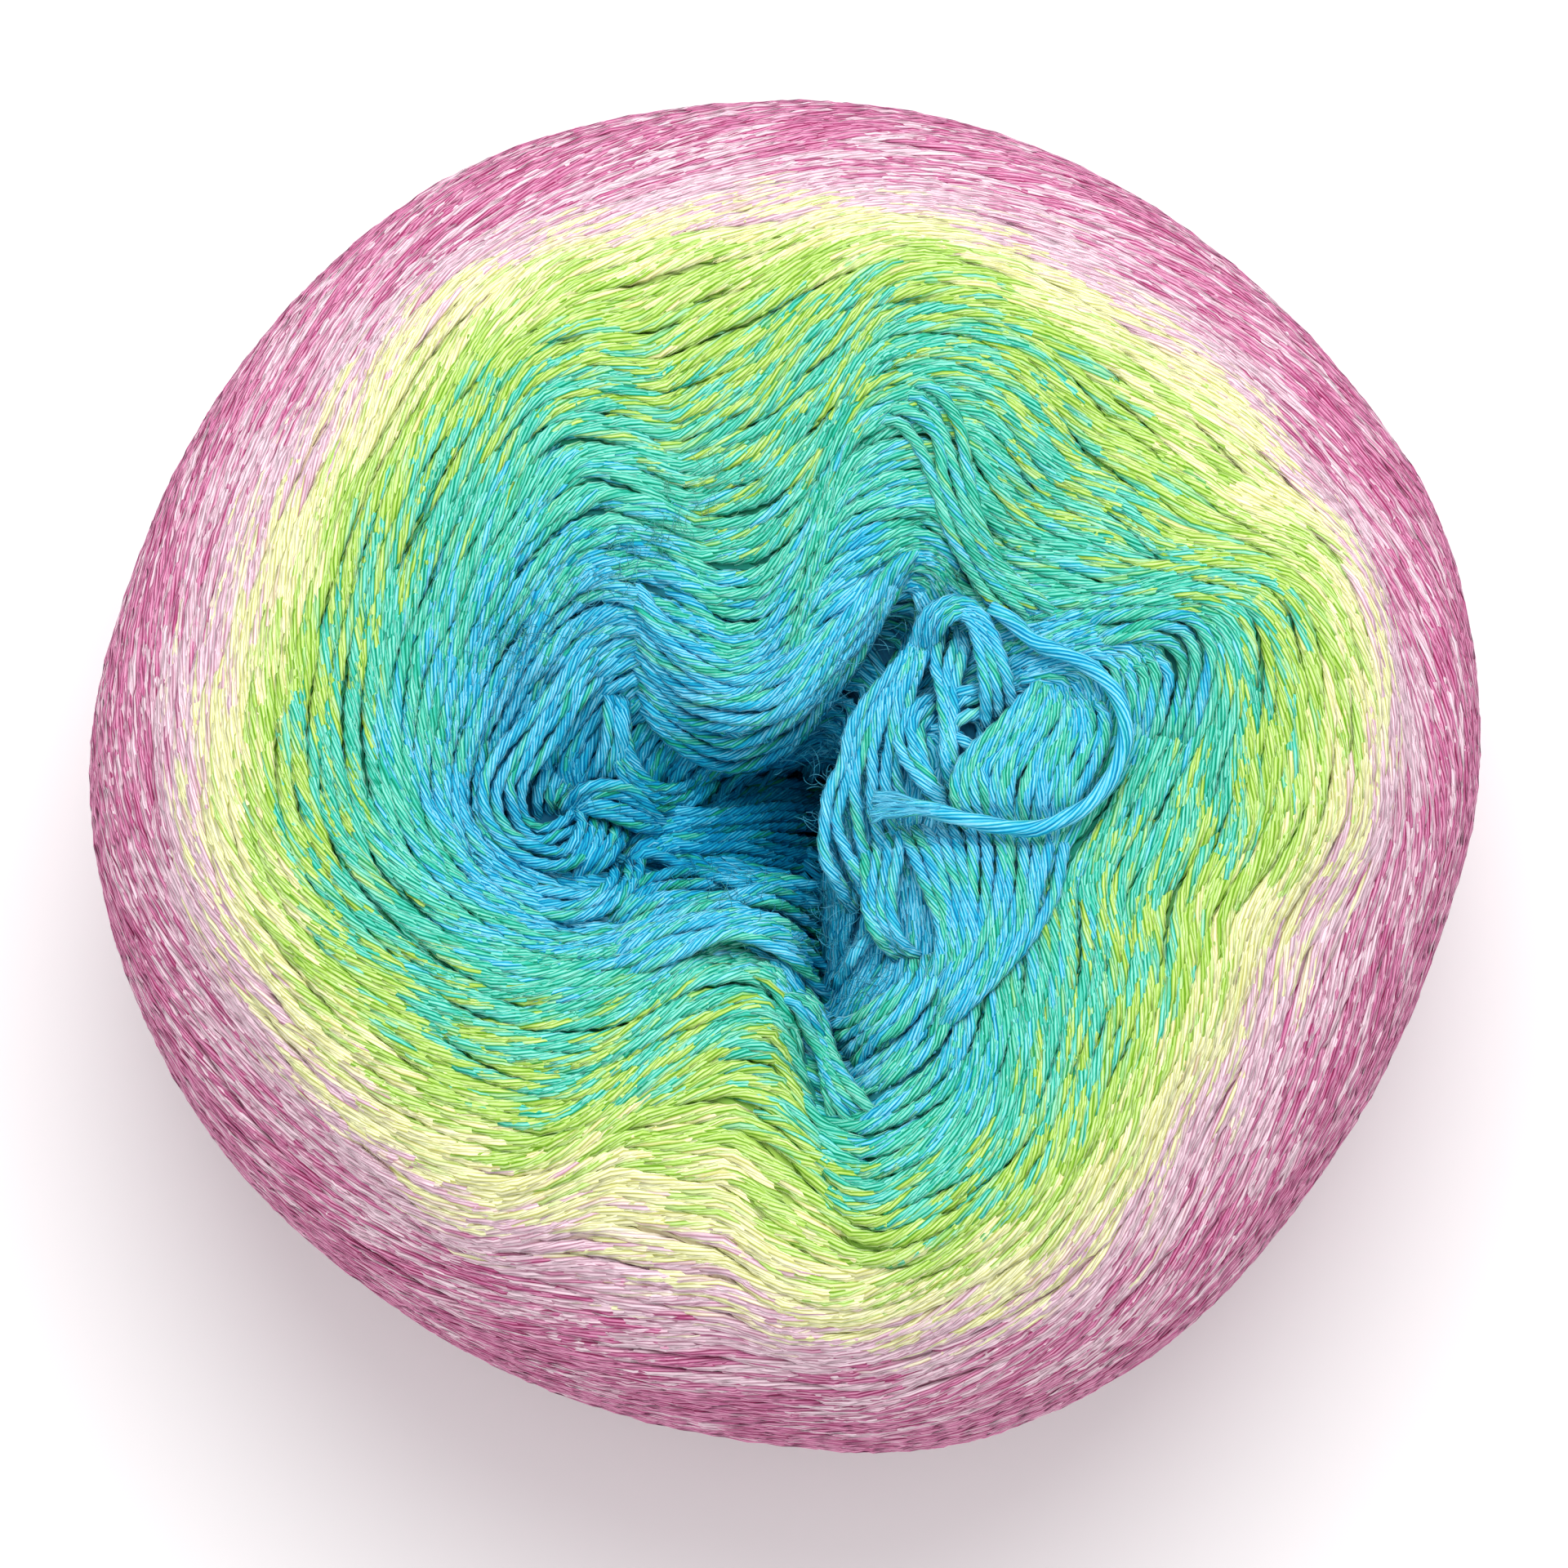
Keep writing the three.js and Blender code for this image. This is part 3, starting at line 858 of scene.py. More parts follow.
def core_material(name, settings):
    """The turns under the strands in painted shade: the dye of the place in deep shades, in fine rings."""
    tree = NodeTree(name)
    round_well, across, _ = tree.parts(tree.node("ShaderNodeUVMap", {"uv_map": "strand"}))
    wind = tree.node("ShaderNodeAttribute", {"attribute_name": "wind"}, output=2)
    colours = [tuple(colour) for colour in settings.colours()]
    stops = [((index + 0.5) / len(colours), colour) for index, colour in enumerate(colours)]
    dye = tree.node("ShaderNodeValToRGB", {"stops": stops}, (wind + 0.5) / len(COLOURS))
    rings = tree.noise((round_well, across, 0.0), RING_SCALES, Scale=1.0, Detail=3.0)
    # Less painted shade on the core before the pale wind, in the lime to pink turns.
    pale = ((PALE_WIND - wind) * PALE_WIND_RATE).limited() * PALE_TONE
    turn = shades(tree, dye, (rings - 0.5) * RING_TONE + pale + CORE_TONE)
    # More painted shade: past the deep wind the core is darkened towards a dark teal.
    colour = tree.blend((wind - DEEP_WIND).limited() * DEEP_SHARE, turn, DEEP_SHADE)
    normal = tree.node("ShaderNodeBump", None, Strength=0.8, Distance=CORE_RELIEF, Height=rings)
    return tree.finish(Base_Color=colour, Roughness=0.9, Normal=normal)


# Sizes and colours that a user may change


def dye_property(name, description):
    """A dye that the user may change, from its first colour in the table."""
    return bpy.props.FloatVectorProperty(
        name=name, description=description, subtype="COLOR", default=dict(COLOURS)[name], min=0, max=1,
    )


class YarnSettings(bpy.types.PropertyGroup):
    """The dyes of the gradient, from the rim to the well, and how dark the painted shade in the grooves is.
    """

    magenta: dye_property("Magenta", "Dye of the outermost turns")
    pale_pink: dye_property("Pale pink", "Dye inside the magenta")
    cream: dye_property("Cream", "Dye inside the pale pink")
    lime: dye_property("Lime", "Dye inside the cream")
    turquoise: dye_property("Turquoise", "Dye inside the lime")
    blue: dye_property("Blue", "Dye of the innermost turns")
    # How much painted shade lies in the grooves between the threads.
    groove: bpy.props.FloatProperty(
        name="Groove", description="How much darker the grooves between the threads are",
        default=0.42, min=0, max=1, subtype="FACTOR",
    )

    def colours(self):
        """The dyes in winding order."""
        return (self.magenta, self.pale_pink, self.cream, self.lime, self.turquoise, self.blue)


class StageSettings(bpy.types.PropertyGroup):
    """The floor, the light and the camera."""

    elevation: bpy.props.FloatProperty(
        name="Elevation", description="Camera's height above the horizon",
        default=math.radians(83), subtype="ANGLE",
    )
    distance: bpy.props.FloatProperty(
        name="Distance", description="From the camera to the middle of the cake",
        default=0.85, unit="LENGTH",
    )
    lens: bpy.props.FloatProperty(
        name="Lens", description="Focal length in millimetres on a 36 mm sensor", default=193.3,
    )
    sky: bpy.props.FloatProperty(name="Sky", description="Strength of the even light", default=0.88, min=0)
    lamp: bpy.props.FloatProperty(
        name="Lamp", description="Power of the soft lamp behind and above",
        default=6.5, min=0, subtype="POWER",
    )


def material_named(name, maker):
    """The material of that name, made on its first use."""
    found = bpy.data.materials.get(name)
    return found or maker(name, bpy.context.scene.yarn_settings)


def strand_finish():
    """The finish of every strand."""
    return material_named("twisted_yarn", yarn_material)


# The loose end

YARN_DIAMETER = 1.5
LOOSE_END_ROUTE = (
    (19.6, 11.5, 82.7),
    (21.8, 9.8, 83.6),
    (23.6, 8.0, 84.1),
    (26.6, 6.7, 84.6),
    (29.6, 4.9, 85.0),
    (31.7, 2.2, 85.4),
    (32.3, -1.1, 85.4),
    (31.4, -4.4, 85.3),
    (29.3, -7.4, 85.2),
    (26.6, -9.2, 85.2),
    (23.6, -10.2, 85.2),
    (20.6, -10.0, 85.1),
    (17.6, -9.4, 84.7),
    (14.6, -8.5, 83.9),
    (11.6, -7.7, 82.9),
    (9.1, -7.7, 81.8),
)
LOOSE_STEP = 0.9
LOOSE_SIDES = 16
LOOSE_PITCH = 17
LOOSE_WIND = 5.1
LOOSE_PHASE = 0.4
LOOSE_FLATNESS = 0.9
FRAY_FIRST = ((14.8, -8.1, 84.2), (12.4, -7.4, 83.6), (10.3, -6.9, 83.0), (8.3, -6.4, 82.4))
FRAY_LAST = ((14.8, -8.9, 84.2), (12.4, -8.6, 83.6), (10.3, -8.7, 83.0), (8.1, -9.1, 82.4))
FRAY_THREADS = 26
FRAY_STRAY = 0.16
FRAY_STEP = 0.5
FRAY_WIDTH = 0.42
FRAY_SIDES = 5
FRAY_PITCH = 9
FRAY_WINDS = (5.0, 5.2)


def smooth_route(points, step):
    """A smooth line through given points, at equal steps of about the given length.

    Each coordinate is a curve through the points by their distance along the line, whose slope at a
    point is that of its two neighbours. The line is then measured and divided into equal steps.
    """
    points = np.array(points, float)
    run = np.append(0, np.cumsum(np.linalg.norm(np.diff(points, axis=0), axis=1)))
    slopes = np.gradient(points, run, axis=0)
    fine = np.linspace(0, run[-1], 40 * len(points))
    line = cubic_curve(run, points.T, slopes.T, fine).T
    fine_run = np.append(0, np.cumsum(np.linalg.norm(np.diff(line, axis=0), axis=1)))
    count = max(4, int(round(fine_run[-1] / step)) + 1)
    even = np.linspace(0, fine_run[-1], count)
    return np.stack([np.interp(even, fine_run, column) for column in line.T], axis=-1)


def route_length(line):
    """Length of a line of points."""
    return float(np.linalg.norm(np.diff(line, axis=0), axis=1).sum())


def make_frayed_tip():
    """The threads that have come apart at the tip, fanned out between two outer routes."""
    rng = np.random.default_rng(SEED)
    first, last = np.array(FRAY_FIRST), np.array(FRAY_LAST)
    meshes = []
    for share in np.linspace(0, 1, FRAY_THREADS):
        route = mix(first, last, share) + rng.normal(0, FRAY_STRAY, first.shape)
        wind, phase = rng.uniform(*FRAY_WINDS, 1), rng.uniform(0, TURN, 1)
        line = smooth_route(route, FRAY_STEP)
        meshes.append(lone_strand(line, wind, phase, FRAY_WIDTH, FRAY_WIDTH, FRAY_SIDES, FRAY_PITCH))
    return put_piece("frayed_tip", join(meshes), strand_finish())


def make_loose_end():
    """The free inner end: a gently twisted strand along its route."""
    line = smooth_route(LOOSE_END_ROUTE, LOOSE_STEP)
    mesh = lone_strand(
        line, np.array([LOOSE_WIND]), np.array([LOOSE_PHASE]), YARN_DIAMETER,
        YARN_DIAMETER * LOOSE_FLATNESS, LOOSE_SIDES, LOOSE_PITCH,
    )
    piece = put_piece("loose_yarn_end", mesh, strand_finish())
    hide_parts("loose_end")
    tip = make_frayed_tip()
    return piece


# Strands laid along given routes

# Bundles of loose strands on the top, by the piece that they belong to. A bundle runs from its first
# route to its last one, with its other strands between them at equal steps, and the routes are (x, y).
# lift is the height of the strands' middles over the turns beneath. level, where there is one, is their
# height at the start, the middle and the end instead, for strands that hang into the well.
BUNDLE_COLUMNS = ("piece", "count", "wind", "lift", "level", "first", "last")
BUNDLE_ROWS = (
    ("bunch", 6, 4.8, 0.1, (80.5, 79.5, 78.5),
     ((12.4, 8.8), (10.2, 5.6), (7.6, 2.4), (5.7, -0.3), (5.2, -3), (4.1, -6), (3.7, -9), (4.0, -12.5),
      (5.9, -16.4)),
     ((13.9, 8.6), (12.8, 6), (11.9, 3.4), (11.1, 0.8), (10.6, -1.6), (10.6, -4), (11.1, -6.5), (12, -9),
      (13, -11.5))),
    ("bunch", 3, 4.85, 0.9, None,
     ((14.3, 3.3), (12.5, 2.4), (11.2, 0.8), (10.9, -1.1), (11.3, -2.9), (12.2, -4.7), (13.4, -6.3),
      (14.9, -7.8)),
     ((14.2, 1.3), (13.4, 0.7), (12.9, -0.1), (12.7, -1.5), (13.1, -3.0), (13.6, -4.3), (14.3, -5.5),
      (15.0, -6.8))),
    ("bunch", 3, 4.85, 0.4, None,
     ((15.4, 10.4), (14.7, 8.1), (14.5, 6), (14.6, 4), (14.8, 1.5), (14.9, -1), (15.2, -3.5), (15.9, -6)),
     ((17.4, 9.6), (16.7, 7.2), (16.3, 5.2), (16.1, 3.1), (16.0, 1), (15.9, -1.1), (16.0, -3),
      (16.6, -5.4))),
    ("bunch", 2, 4.9, 1.3, None,
     ((15.2, 3.3), (17.2, 3.4), (19.3, 3.6)), ((15.4, 1.9), (17.2, 2.4), (19.2, 2.8))),
    ("bunch", 2, 4.8, 1.3, None,
     ((15.2, -0.4), (17.0, 0.8), (19.2, 1.4)), ((15.4, -0.4), (16.9, -1.2), (18.2, -2.4))),
    ("bunch", 3, 4.9, 1.6, None,
     ((11.2, 4.4), (12.3, 8.3), (13.6, 11), (15.9, 12.3), (17.7, 11.6), (19.4, 9.3), (20.6, 6.2),
      (21.6, 1.8)),
     ((13.7, 7.4), (14.5, 9.4), (15.5, 10.7), (16.7, 11), (17.8, 9.9), (18.4, 7.6), (18.8, 4.6),
      (19.1, 0.4))),
    ("oval", 14, 4.6, 0.5, None,
     ((17.6, -9.9), (16.2, -6.9), (16.5, -4.3), (18.2, -2.1), (20.6, 0.0), (23, 2.4), (24.9, 5.0)),
     ((26.2, -9.9), (27.4, -7.4), (28.7, -5.0), (29.8, -2.8), (30.5, -0.8), (30.4, 1.2), (29.5, 3.2))),
    ("lower_bunch", 4, 4.75, 0.4, None,
     ((7.3, -9.3), (7.6, -12), (7.4, -15), (7.7, -17.8), (8.7, -19.9), (10.2, -21.8)),
     ((10.9, -9.3), (10.3, -13.1), (9.9, -16), (10.1, -18.6), (11, -20.4), (12.4, -22))),
    ("lower_bunch", 13, 4.6, 0.3, None,
     ((11, -9.2), (11.9, -12.3), (13.1, -15), (13.9, -17.5), (14.5, -20), (14.2, -22.5), (12.6, -25.2)),
     ((26.6, -9.4), (26.2, -12.5), (25.2, -16.5), (23.4, -20), (20.8, -23.6), (17.6, -26.8), (14, -29.6))),
    ("lower_bunch", 2, 4.8, 0.9, None,
     ((3.9, -9.4), (4.0, -12), (4.8, -14.2), (6.4, -16.8)),
     ((5.3, -9.4), (5.7, -11.9), (6.6, -13.8), (7.8, -16))),
    ("lower_bunch", 1, 4.9, 0.5, None, ((8.6, -19.4), (7.2, -21.3), (5.6, -22.9), (4.6, -24.4)), None),
    ("lower_bunch", 4, 4.6, 0.5, None,
     ((4.3, -28.2), (6.3, -27.9), (8.3, -27), (10, -26), (11.4, -24.6), (12.3, -22)),
     ((6.3, -32.2), (8.4, -30.3), (10.6, -28.6), (12.3, -26.9), (13.8, -25), (14.8, -22.4))),
    ("swirl", 4, 4.85, 0.2, None,
     ((-17.5, 6.3), (-18.9, 4.5), (-20.7, 2.1), (-22.5, -0.4), (-24.3, -2.5), (-25.5, -4.5), (-25.8, -6.3),
      (-25.1, -8.1), (-23.6, -8.9), (-22, -8.4), (-21.2, -7.1), (-21, -5.6)),
     ((-17.3, 9.2), (-19.8, 7.3), (-22.6, 4.2), (-25.3, 0.8), (-27.9, -2.4), (-29.4, -5), (-29.1, -7.6),
      (-27.7, -10.1), (-25.1, -12.1), (-22.3, -12.6), (-19.7, -11.6), (-17.8, -9.6))),
    ("swirl", 5, 4.85, 0.5, None,
     ((-20.2, -5.8), (-20.1, -8.2), (-21.1, -10.4), (-23.5, -12)),
     ((-15.8, -7.3), (-16.1, -9.6), (-17.4, -11.8), (-20, -13.5))),
    ("swirl", 3, 4.9, 0.3, None,
     ((-17.1, 4.6), (-17.3, 2.2), (-17.6, 0), (-18.6, -2.4), (-20, -4.2)),
     ((-15.9, 4), (-15.7, 1.2), (-15.9, -1), (-16.8, -3), (-18.4, -4.8))),
    ("swirl", 4, 4.9, 0.8, None,
     ((-22.4, -6.4), (-20.2, -4.9), (-17.5, -4.4), (-15.4, -5), (-14, -6), (-12.6, -7.2), (-10.4, -8.4)),
     ((-21.2, -6.3), (-19.5, -6.7), (-17.5, -7.2), (-15.8, -7.7), (-14.4, -8), (-12.8, -8.4),
      (-10.6, -9.0))),
    ("swirl", 3, 4.85, 0.3, None,
     ((-15.6, 3.4), (-15.5, 0), (-14.8, -2.6), (-12.8, -4.3), (-10.5, -4.5), (-8, -2.4)),
     ((-16.6, 1.4), (-16.5, -1.8), (-15.2, -4.6), (-12.6, -6.2), (-9.8, -5.8), (-7.2, -3.2))),
    ("swirl", 3, 4.8, 0.2, None,
     ((-14.0, -10.9), (-14.6, -14), (-17, -16.7), (-21, -17.9), (-25, -17)),
     ((-16.7, -12), (-16.8, -13.8), (-18.7, -15.3), (-22, -15.9), (-25.5, -14.9))),
    ("slope", 6, 4.85, 0.1, None,
     ((-16.4, -9.8), (-13.4, -8.8), (-10.2, -9.2), (-7, -10.9), (-3.5, -12), (0.5, -12.4)),
     ((-16, -12.4), (-13.5, -11.4), (-10.4, -11.8), (-7.4, -13), (-4, -14), (0, -14.8))),
    ("slope", 6, 5.0, 0, (64, 59, 53),
     ((-9.4, -5.0), (-5.6, -3.9), (-2, -2.7), (3.8, -2.2)),
     ((-10.2, -6.6), (-6.6, -6.2), (-3, -4.9), (3.6, -4))),
    ("slope", 14, 4.95, 0, (68.5, 64, 56),
     ((-13.6, -6.8), (-8.4, -6.9), (-4.2, -5.6), (-0.5, -4.7), (3.8, -4.7)),
     ((-14.6, -10.6), (-9.4, -10.6), (-4, -11.2), (-0.3, -11.4), (3.9, -11.8))),
    ("slope", 13, 4.65, 0.1, None,
     ((-17.6, -16.2), (-12, -13.6), (-7, -12.6), (-2.5, -12.8), (3, -14)),
     ((-17, -24.2), (-11, -22), (-5, -20.7), (-0.5, -21.6), (3.8, -25.4))),
    ("pinch", 4, 4.3, 0.4, None,
     ((-1.5, -25.2), (0.8, -26.4), (2.1, -28.6), (2.9, -31.5), (3.5, -34.5), (4.8, -38.4)),
     ((1.2, -24.4), (2.6, -26), (3.6, -28.2), (4.3, -30.8), (5.6, -33.8), (8.6, -37.6))),
    ("swirl", 3, 4.8, -1.4, None,
     ((-22.6, -2.2), (-24.0, -4.6), (-24.5, -6.6), (-23.8, -8.2)),
     ((-20.4, -2.6), (-22.0, -4.8), (-22.6, -6.4), (-22.4, -7.8))),
    ("slit", 10, 4.85, 0.2, None,
     ((-14.6, 4.2), (-12.2, 0.6), (-9, -1.4), (-5.6, -2), (-2, -1.6), (1.5, 0.2), (3.8, 3.2), (6.2, 6.4),
      (8.4, 10), (11, 14.8)),
     ((-15.4, 14.6), (-12.4, 10.6), (-9, 7.6), (-5.4, 6.2), (-1, 6.2), (2.8, 8.2), (5.6, 10.6), (8.2, 13.2),
      (10.6, 15.9), (13.6, 17.8))),
    ("slit", 6, 5.3, 0, (56, 61, 67),
     ((2.5, -1.4), (5, 1.2), (7.6, 4.4), (10, 8), (12, 12.4)),
     ((0.5, 0.6), (3.2, 2.6), (6, 5), (8.6, 8.8), (11, 13.4))),
    ("slit", 4, 4.8, -0.8, None,
     ((11.9, 15.2), (12.5, 13.7), (12.7, 11.6), (12.6, 9)),
     ((14.8, 15.2), (15, 14), (15, 12.6), (14.8, 11))),
    ("hook", 3, 4.3, 0.2, None,
     ((28.5, 7.6), (32, 8.2), (35, 8.6), (37.4, 8), (38.3, 6), (37.9, 3), (36.6, 0), (35.2, -2.6)),
     ((28, 9.9), (32, 10.4), (36, 10.8), (39, 10), (40.4, 7), (40, 3.5), (38.7, 0), (37.2, -3.2))),
    ("hook", 4, 4.4, 0.2, None,
     ((31, 6.2), (32.2, 6), (32.9, 4.6), (32.9, 2.6), (32.7, 0.6), (32.2, -1.6)),
     ((34, 7.2), (35.6, 6.8), (36.3, 5), (36.1, 2.6), (35.2, 0), (33.8, -2.6))),
    ("hook", 4, 4.0, 0.2, None,
     ((7, 29.4), (10.5, 29.4), (12.8, 27.2), (14.2, 23.4), (15.9, 18.6), (17.9, 14.6), (20, 12), (23, 9.6)),
     ((10, 33.2), (13.6, 32.8), (16.2, 29.6), (17.4, 24.4), (19, 19.2), (21, 15.4), (23.2, 12.8),
      (26.6, 10.4))),
)
BUNDLE_PIECES = ("bunch", "oval", "lower_bunch", "swirl", "slope", "slit", "pinch", "hook")
BUNDLE_STEP = 0.9
BUNDLE_WIDTH = 1.28
BUNDLE_SIDES = 12
BUNDLE_PITCH = 8.2
BUNDLE_STRAY = 0.18
SLOPE_STRAY = 0.45
END_RUN = 3.5
END_DEPTH = 2.2


def neighbours(values, reach=2):
    """Each value in a row with those beside it, as far as the reach."""
    padded = np.pad(values, reach, mode="edge")
    return np.lib.stride_tricks.sliding_window_view(padded, 2 * reach + 1)


def level_beneath(line):
    """Level that a strand rests at along its way: the highest turn within 2 mm, evened out."""
    angle, place = FORM.beneath(line[:, 0], line[:, 1])
    level = FORM.at(FORM.points, angle, place)[:, 2]
    return neighbours(neighbours(level).max(axis=-1)).mean(axis=-1)


def lay_strand(route, lift, level):
    """A loose strand's middle line: its way from above, at its level, with both ends dipping down.

    An end falls by the end's depth over the end's run, as a smooth step.
    """
    line = smooth_route(route, BUNDLE_STEP)
    share = np.linspace(0, 1, len(line))
    if level:
        height = smooth_curve(np.array([0, 0.5, 1]), np.array(level, float), share) + lift
    else:
        height = level_beneath(line) + lift
    run = share * route_length(line)
    t = np.clip(1 - np.minimum(run, run[-1] - run) / END_RUN, 0, 1)
    return np.column_stack([line, height - END_DEPTH * smooth_step(t)])


def bundle_lines(bundle, rng):
    """The middle lines of one bundle's strands."""
    first = np.array(bundle["first"], float)
    last = np.array(bundle["last"] or bundle["first"], float)
    stray = SLOPE_STRAY if bundle["piece"] == "slope" else BUNDLE_STRAY
    lines = []
    for share in np.linspace(0, 1, bundle["count"]):
        route = mix(first, last, share) + rng.normal(0, stray, first.shape)
        lift = bundle["lift"] + rng.uniform(-1, 1) * stray
        lines.append(lay_strand(route, lift, bundle["level"]))
    return lines


def lay_bundles(piece_name):
    """Lays the bundles that belong to a piece, as one mesh."""
    rng = np.random.default_rng(SEED + len(piece_name))
    meshes = []
    for bundle in named_rows(BUNDLE_COLUMNS, BUNDLE_ROWS):
        if bundle["piece"] != piece_name:
            continue
        for line in bundle_lines(bundle, rng):
            wind = bundle["wind"] + rng.uniform(-1, 1, 1) * BUNDLE_STRAY
            phase = rng.uniform(0, TURN, 1)
            meshes.append(
                lone_strand(line, wind, phase, BUNDLE_WIDTH, BUNDLE_WIDTH, BUNDLE_SIDES, BUNDLE_PITCH)
            )
    return put_piece(f"{piece_name}_strands", join(meshes), strand_finish())


# Stray hairs

# Places where the yarn is fuzzy, each a line along which hairs stand off. lift is how high they stand.
HAIR_COLUMNS = ("name", "count", "lift", "first", "last")
HAIR_ROWS = (
    ("slit", 130, 1.4, (-2, -1), (11, 13)),
    ("bunch edge", 150, 1.6, (5, 3), (5, -16)),
    ("lower bunch", 110, 1.4, (4.5, -17), (8, -27)),
    ("loose end", 60, 1.8, (8.5, -7.5), (16, -9)),
    ("swirl", 90, 1.2, (-21, -5), (-6, -8)),
    ("slope", 120, 1.2, (-12, -13), (1, -18)),
    ("hook", 50, 1.4, (14, 15), (22, 11)),
    ("top", 160, 1.1, (-30, 5), (-5, 25)),
)
HAIR_STEPS = 6
HAIR_LENGTH = 2.6
HAIR_WIDTH = 0.07
HAIR_SPREAD = 1.3
HAIR_CURL = 0.5
HAIR_BEND = 4
HAIR_SIDES = 3
HAIR_PITCH = 9
HAIR_START = 0.2
HAIR_ARCH = 0.8 * math.pi
LENGTH_SHARES = (0.4, 1.5)
LIFT_SHARES = (0.3, 1)


def lay_hairs():
    """Fine stray fibres: each starts on the turns near its line and leaves along a bent way.

    The heading of a hair turns evenly along it, and its height over the turns follows a low arch.
    """
    rng = np.random.default_rng(SEED + 1)
    meshes = []
    for hair in named_rows(HAIR_COLUMNS, HAIR_ROWS):
        count = hair["count"]
        share = rng.uniform(0, 1, (count, 1))
        starts = mix(np.array(hair["first"], float), np.array(hair["last"], float), share)
        starts = starts + rng.normal(0, HAIR_SPREAD, starts.shape)
        steps = np.linspace(0, 1, HAIR_STEPS)
        length = HAIR_LENGTH * rng.uniform(*LENGTH_SHARES, (count, 1))
        heading = rng.uniform(0, TURN, (count, 1))
        heading = heading + rng.normal(0, HAIR_CURL, (count, 1)) * steps * HAIR_BEND
        stride = length / HAIR_STEPS
        x = starts[:, :1] + np.cumsum(np.cos(heading) * stride, axis=1)
        y = starts[:, 1:] + np.cumsum(np.sin(heading) * stride, axis=1)
        angle, place = FORM.beneath(starts[:, 0], starts[:, 1])
        level = FORM.at(FORM.points, angle, place)[:, 2:]
        arch = np.sin(steps * HAIR_ARCH) * hair["lift"] * rng.uniform(*LIFT_SHARES, (count, 1))
        lines = np.stack([x, y, level + arch + HAIR_START], axis=-1)
        winds = FORM.at(FORM.wind, angle, place)
        meshes.append(strand_mesh(
            lines, np.broadcast_to(UP, lines.shape), winds, HAIR_WIDTH, HAIR_WIDTH, HAIR_SIDES, HAIR_PITCH,
            rng.uniform(0, TURN, count), lobe=0,
        ))
    return put_piece("stray_hairs", join(meshes), strand_finish())


# The stage

# The camera looks at the middle of the outline, moved a little to frame it as the photograph does.
FRAME_SHIFT = (-0.00013, -0.00042)
AIM_LEVEL = 0.040
SENSOR_WIDTH = 36
FLOOR_REACH = 3.0
FLOOR_PAINT = (0.9, 0.9, 0.9, 1)
LAMP_SIZE = 0.7
LAMP_PLACE = (0.05, 0.4, 0.9)


def put_camera(settings):
    """The camera: at its distance from its aim, in front and above by the elevation's cosine and sine."""
    data = bpy.data.cameras.new("camera")
    data.lens = settings.lens
    data.sensor_width = SENSOR_WIDTH
    camera = put_object("camera", data)
    x, y = ((low + high) / 2 + shift for low, high, shift in zip(CAD_LOW, CAD_HIGH, FRAME_SHIFT))
    back = settings.distance * math.cos(settings.elevation)
    rise = settings.distance * math.sin(settings.elevation)
    camera.location = (x, y - back, AIM_LEVEL + rise)
    camera.rotation_euler = (math.pi / 2 - settings.elevation, 0, 0)
    bpy.context.scene.camera = camera


def put_floor():
    """A plain pale square that the cake rests on."""
    corners = [(x * FLOOR_REACH, y * FLOOR_REACH, 0) for x, y in ((-1, -1), (1, -1), (1, 1), (-1, 1))]
    data = bpy.data.meshes.new("floor")
    data.from_pydata(corners, [], [(0, 1, 2, 3)])
    data.materials.append(NodeTree("pale_floor").finish(Base_Color=FLOOR_PAINT, Roughness=0.9))
    floor = put_object("floor", data)


def put_light(settings):
    """Even light from all round, and a soft lamp behind and above that shines down on the cake."""
    world = bpy.data.worlds.new("even light")
    world.use_nodes = True
    background = world.node_tree.nodes["Background"]
    background.inputs["Color"].default_value = (1, 1, 1, 1)
    background.inputs["Strength"].default_value = settings.sky
    bpy.context.scene.world = world
    data = bpy.data.lights.new("soft lamp", "AREA")
    data.shape = "DISK"
    data.size = LAMP_SIZE
    data.energy = settings.lamp
    lamp = put_object("soft lamp", data)
    lamp.location = LAMP_PLACE
    x, y, z = LAMP_PLACE
    lamp.rotation_euler = (math.atan2(-y, z), math.atan2(x, z), 0)


# Operators


def title(name):
    """A name as the panel shows it."""
    return name.replace("_", " ").capitalize()


class YARN_OT_stage(bpy.types.Operator):
    """Makes the floor, the even light, the soft lamp and the camera"""

    bl_idname = "yarn.stage"
    bl_label = "Stage"

    def execute(self, context):
        settings = context.scene.stage_settings
        put_camera(settings)
        put_floor()
        put_light(settings)
        context.scene.view_settings.view_transform = "Standard"
        return {"FINISHED"}


class YARN_OT_loose_end(bpy.types.Operator):
    """Lays the free inner end of the yarn"""

    bl_idname = "yarn.loose_end"
    bl_label = "Loose end"

    def execute(self, context):
        make_loose_end()
        return {"FINISHED"}


class YARN_OT_core(bpy.types.Operator):
    """Makes the wound core that carries the strands"""

    bl_idname = "yarn.core"
    bl_label = "Core"

    def execute(self, context):
        core = put_piece("core", core_mesh(), material_named("inner_turns", core_material))
        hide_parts("cake")
        return {"FINISHED"}


class YARN_OT_turns(bpy.types.Operator):
    """Lays the strands of one zone of turns"""

    bl_idname = "yarn.turns"
    bl_label = "Turns"

    zone: bpy.props.EnumProperty(
        name="Zone",
        description="Which turns are laid",
        items=[(name, title(name), f"The {name} turns") for name in ZONES],
    )

    def execute(self, context):
        lay_zone(self.zone)
        return {"FINISHED"}


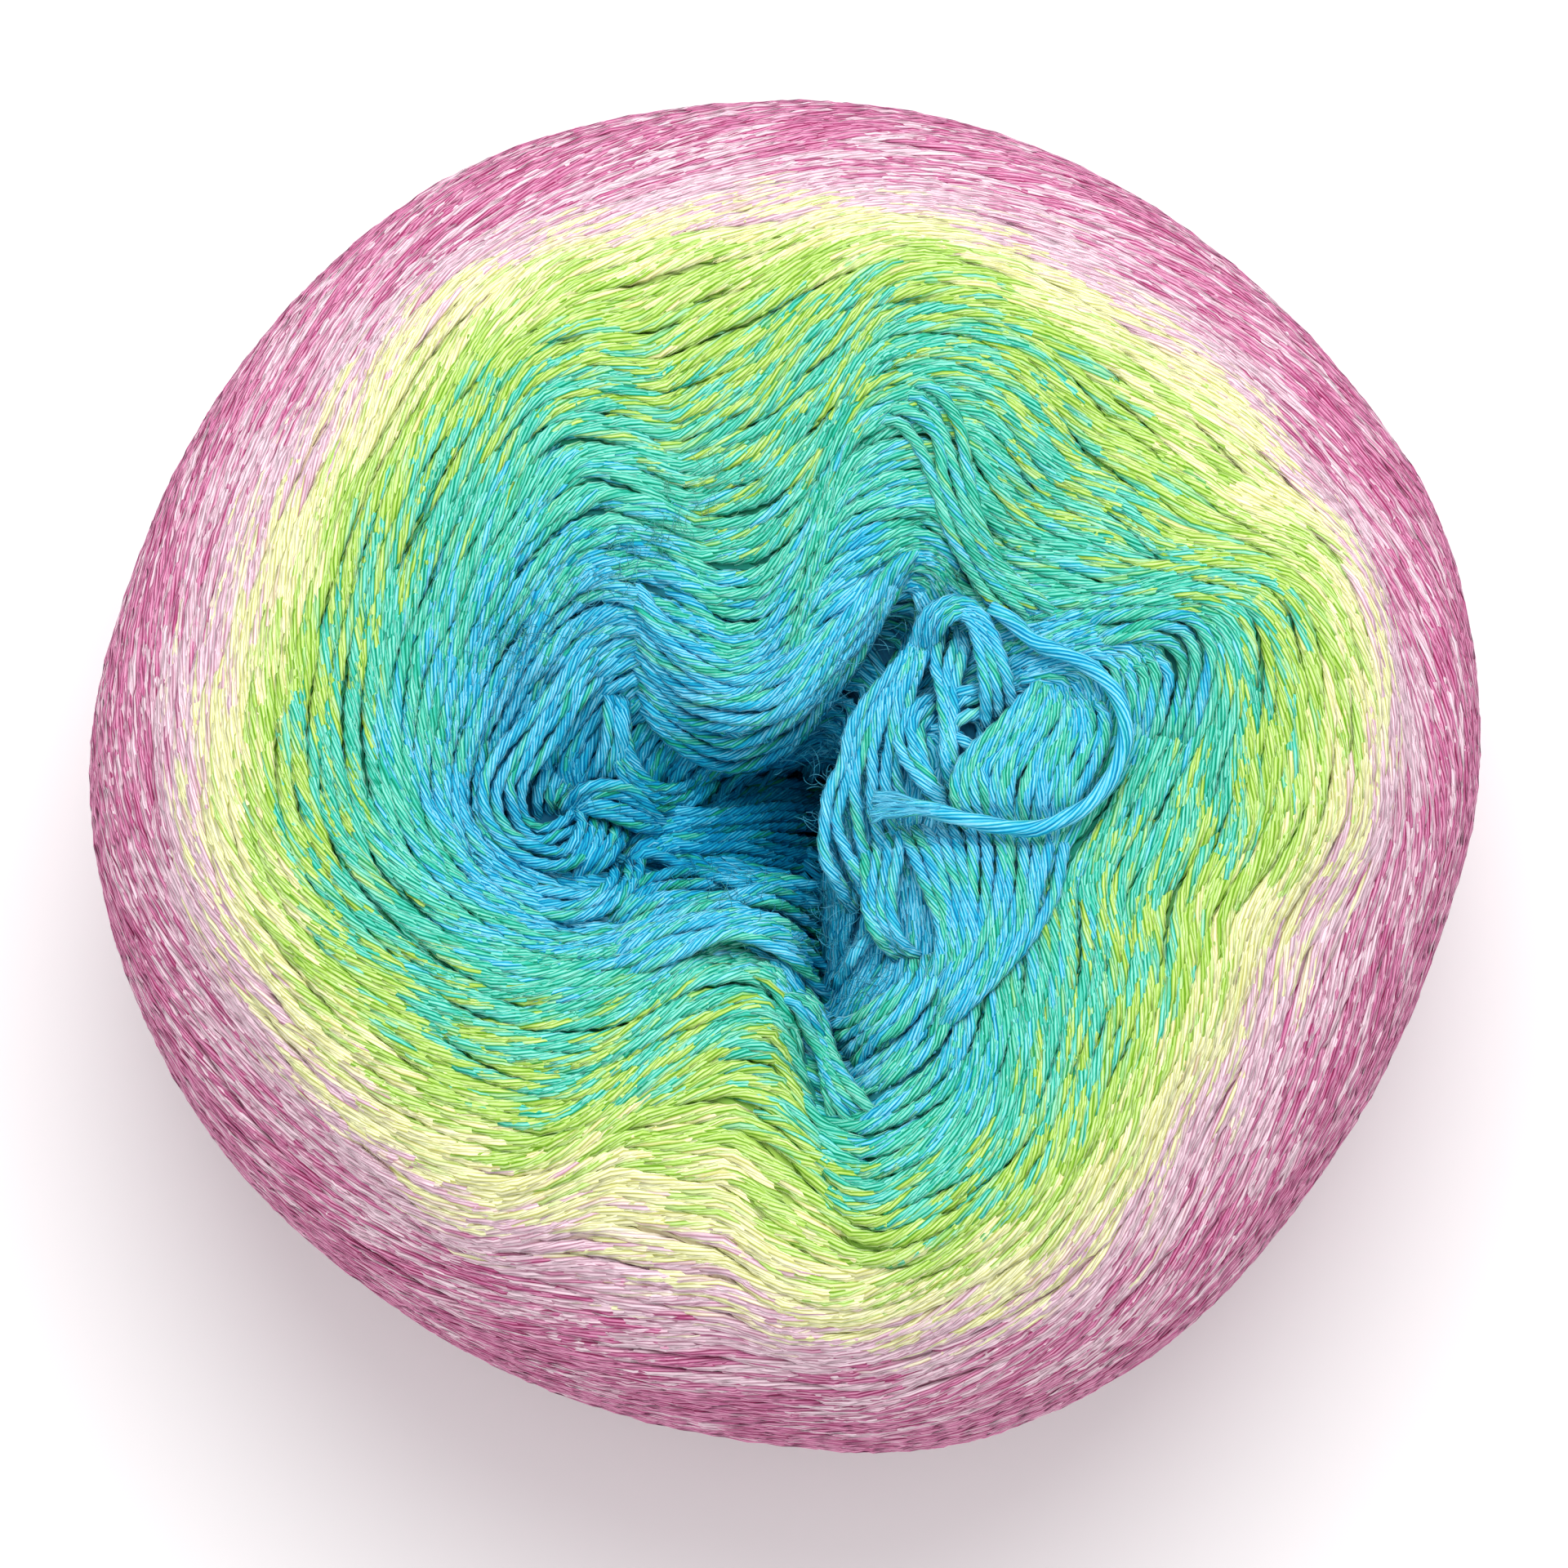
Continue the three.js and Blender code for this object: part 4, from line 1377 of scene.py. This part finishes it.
class YARN_OT_loose_strands(bpy.types.Operator):
    """Lays the loose strands of one place on the top"""

    bl_idname = "yarn.loose_strands"
    bl_label = "Loose strands"

    place: bpy.props.EnumProperty(
        name="Place",
        description="Which loose strands are laid",
        items=[(name, title(name), f"The {name} strands") for name in BUNDLE_PIECES],
    )

    def execute(self, context):
        lay_bundles(self.place)
        return {"FINISHED"}


class YARN_OT_hairs(bpy.types.Operator):
    """Lays the fine hairs that stand off the loose turns"""

    bl_idname = "yarn.hairs"
    bl_label = "Stray hairs"

    def execute(self, context):
        lay_hairs()
        return {"FINISHED"}


class YARN_PT_panel(bpy.types.Panel):
    """Lists the cake's pieces in the 3D view's sidebar"""

    bl_idname = "YARN_PT_panel"
    bl_label = "Yarn Cake"
    bl_space_type = "VIEW_3D"
    bl_region_type = "UI"
    bl_category = "Yarn Cake"

    def draw(self, context):
        layout = self.layout
        for settings in (context.scene.yarn_settings, context.scene.stage_settings):
            for name in settings.bl_rna.properties.keys():
                if name not in ("rna_type", "name"):
                    layout.prop(settings, name)
        for operator in (YARN_OT_stage, YARN_OT_loose_end, YARN_OT_core, YARN_OT_hairs):
            layout.operator(operator.bl_idname)
        for name in ZONES:
            layout.operator(YARN_OT_turns.bl_idname, text=title(name)).zone = name
        for name in BUNDLE_PIECES:
            layout.operator(YARN_OT_loose_strands.bl_idname, text=title(name)).place = name


CLASSES = (
    YarnSettings,
    StageSettings,
    YARN_OT_stage,
    YARN_OT_loose_end,
    YARN_OT_core,
    YARN_OT_turns,
    YARN_OT_loose_strands,
    YARN_OT_hairs,
    YARN_PT_panel,
)


def register():
    for cls in CLASSES:
        bpy.utils.register_class(cls)
    bpy.types.Scene.yarn_settings = bpy.props.PointerProperty(type=YarnSettings)
    bpy.types.Scene.stage_settings = bpy.props.PointerProperty(type=StageSettings)


def unregister():
    del bpy.types.Scene.stage_settings
    del bpy.types.Scene.yarn_settings
    for cls in reversed(CLASSES):
        bpy.utils.unregister_class(cls)


def main():
    """Makes the stage, the cord and every piece in order."""
    register()
    bpy.ops.yarn.stage()
    bpy.ops.yarn.loose_end()
    bpy.ops.yarn.core()
    for name in ZONES:
        bpy.ops.yarn.turns(zone=name)
    for name in BUNDLE_PIECES:
        bpy.ops.yarn.loose_strands(place=name)
    bpy.ops.yarn.hairs()


if __name__ == "__main__":
    main()
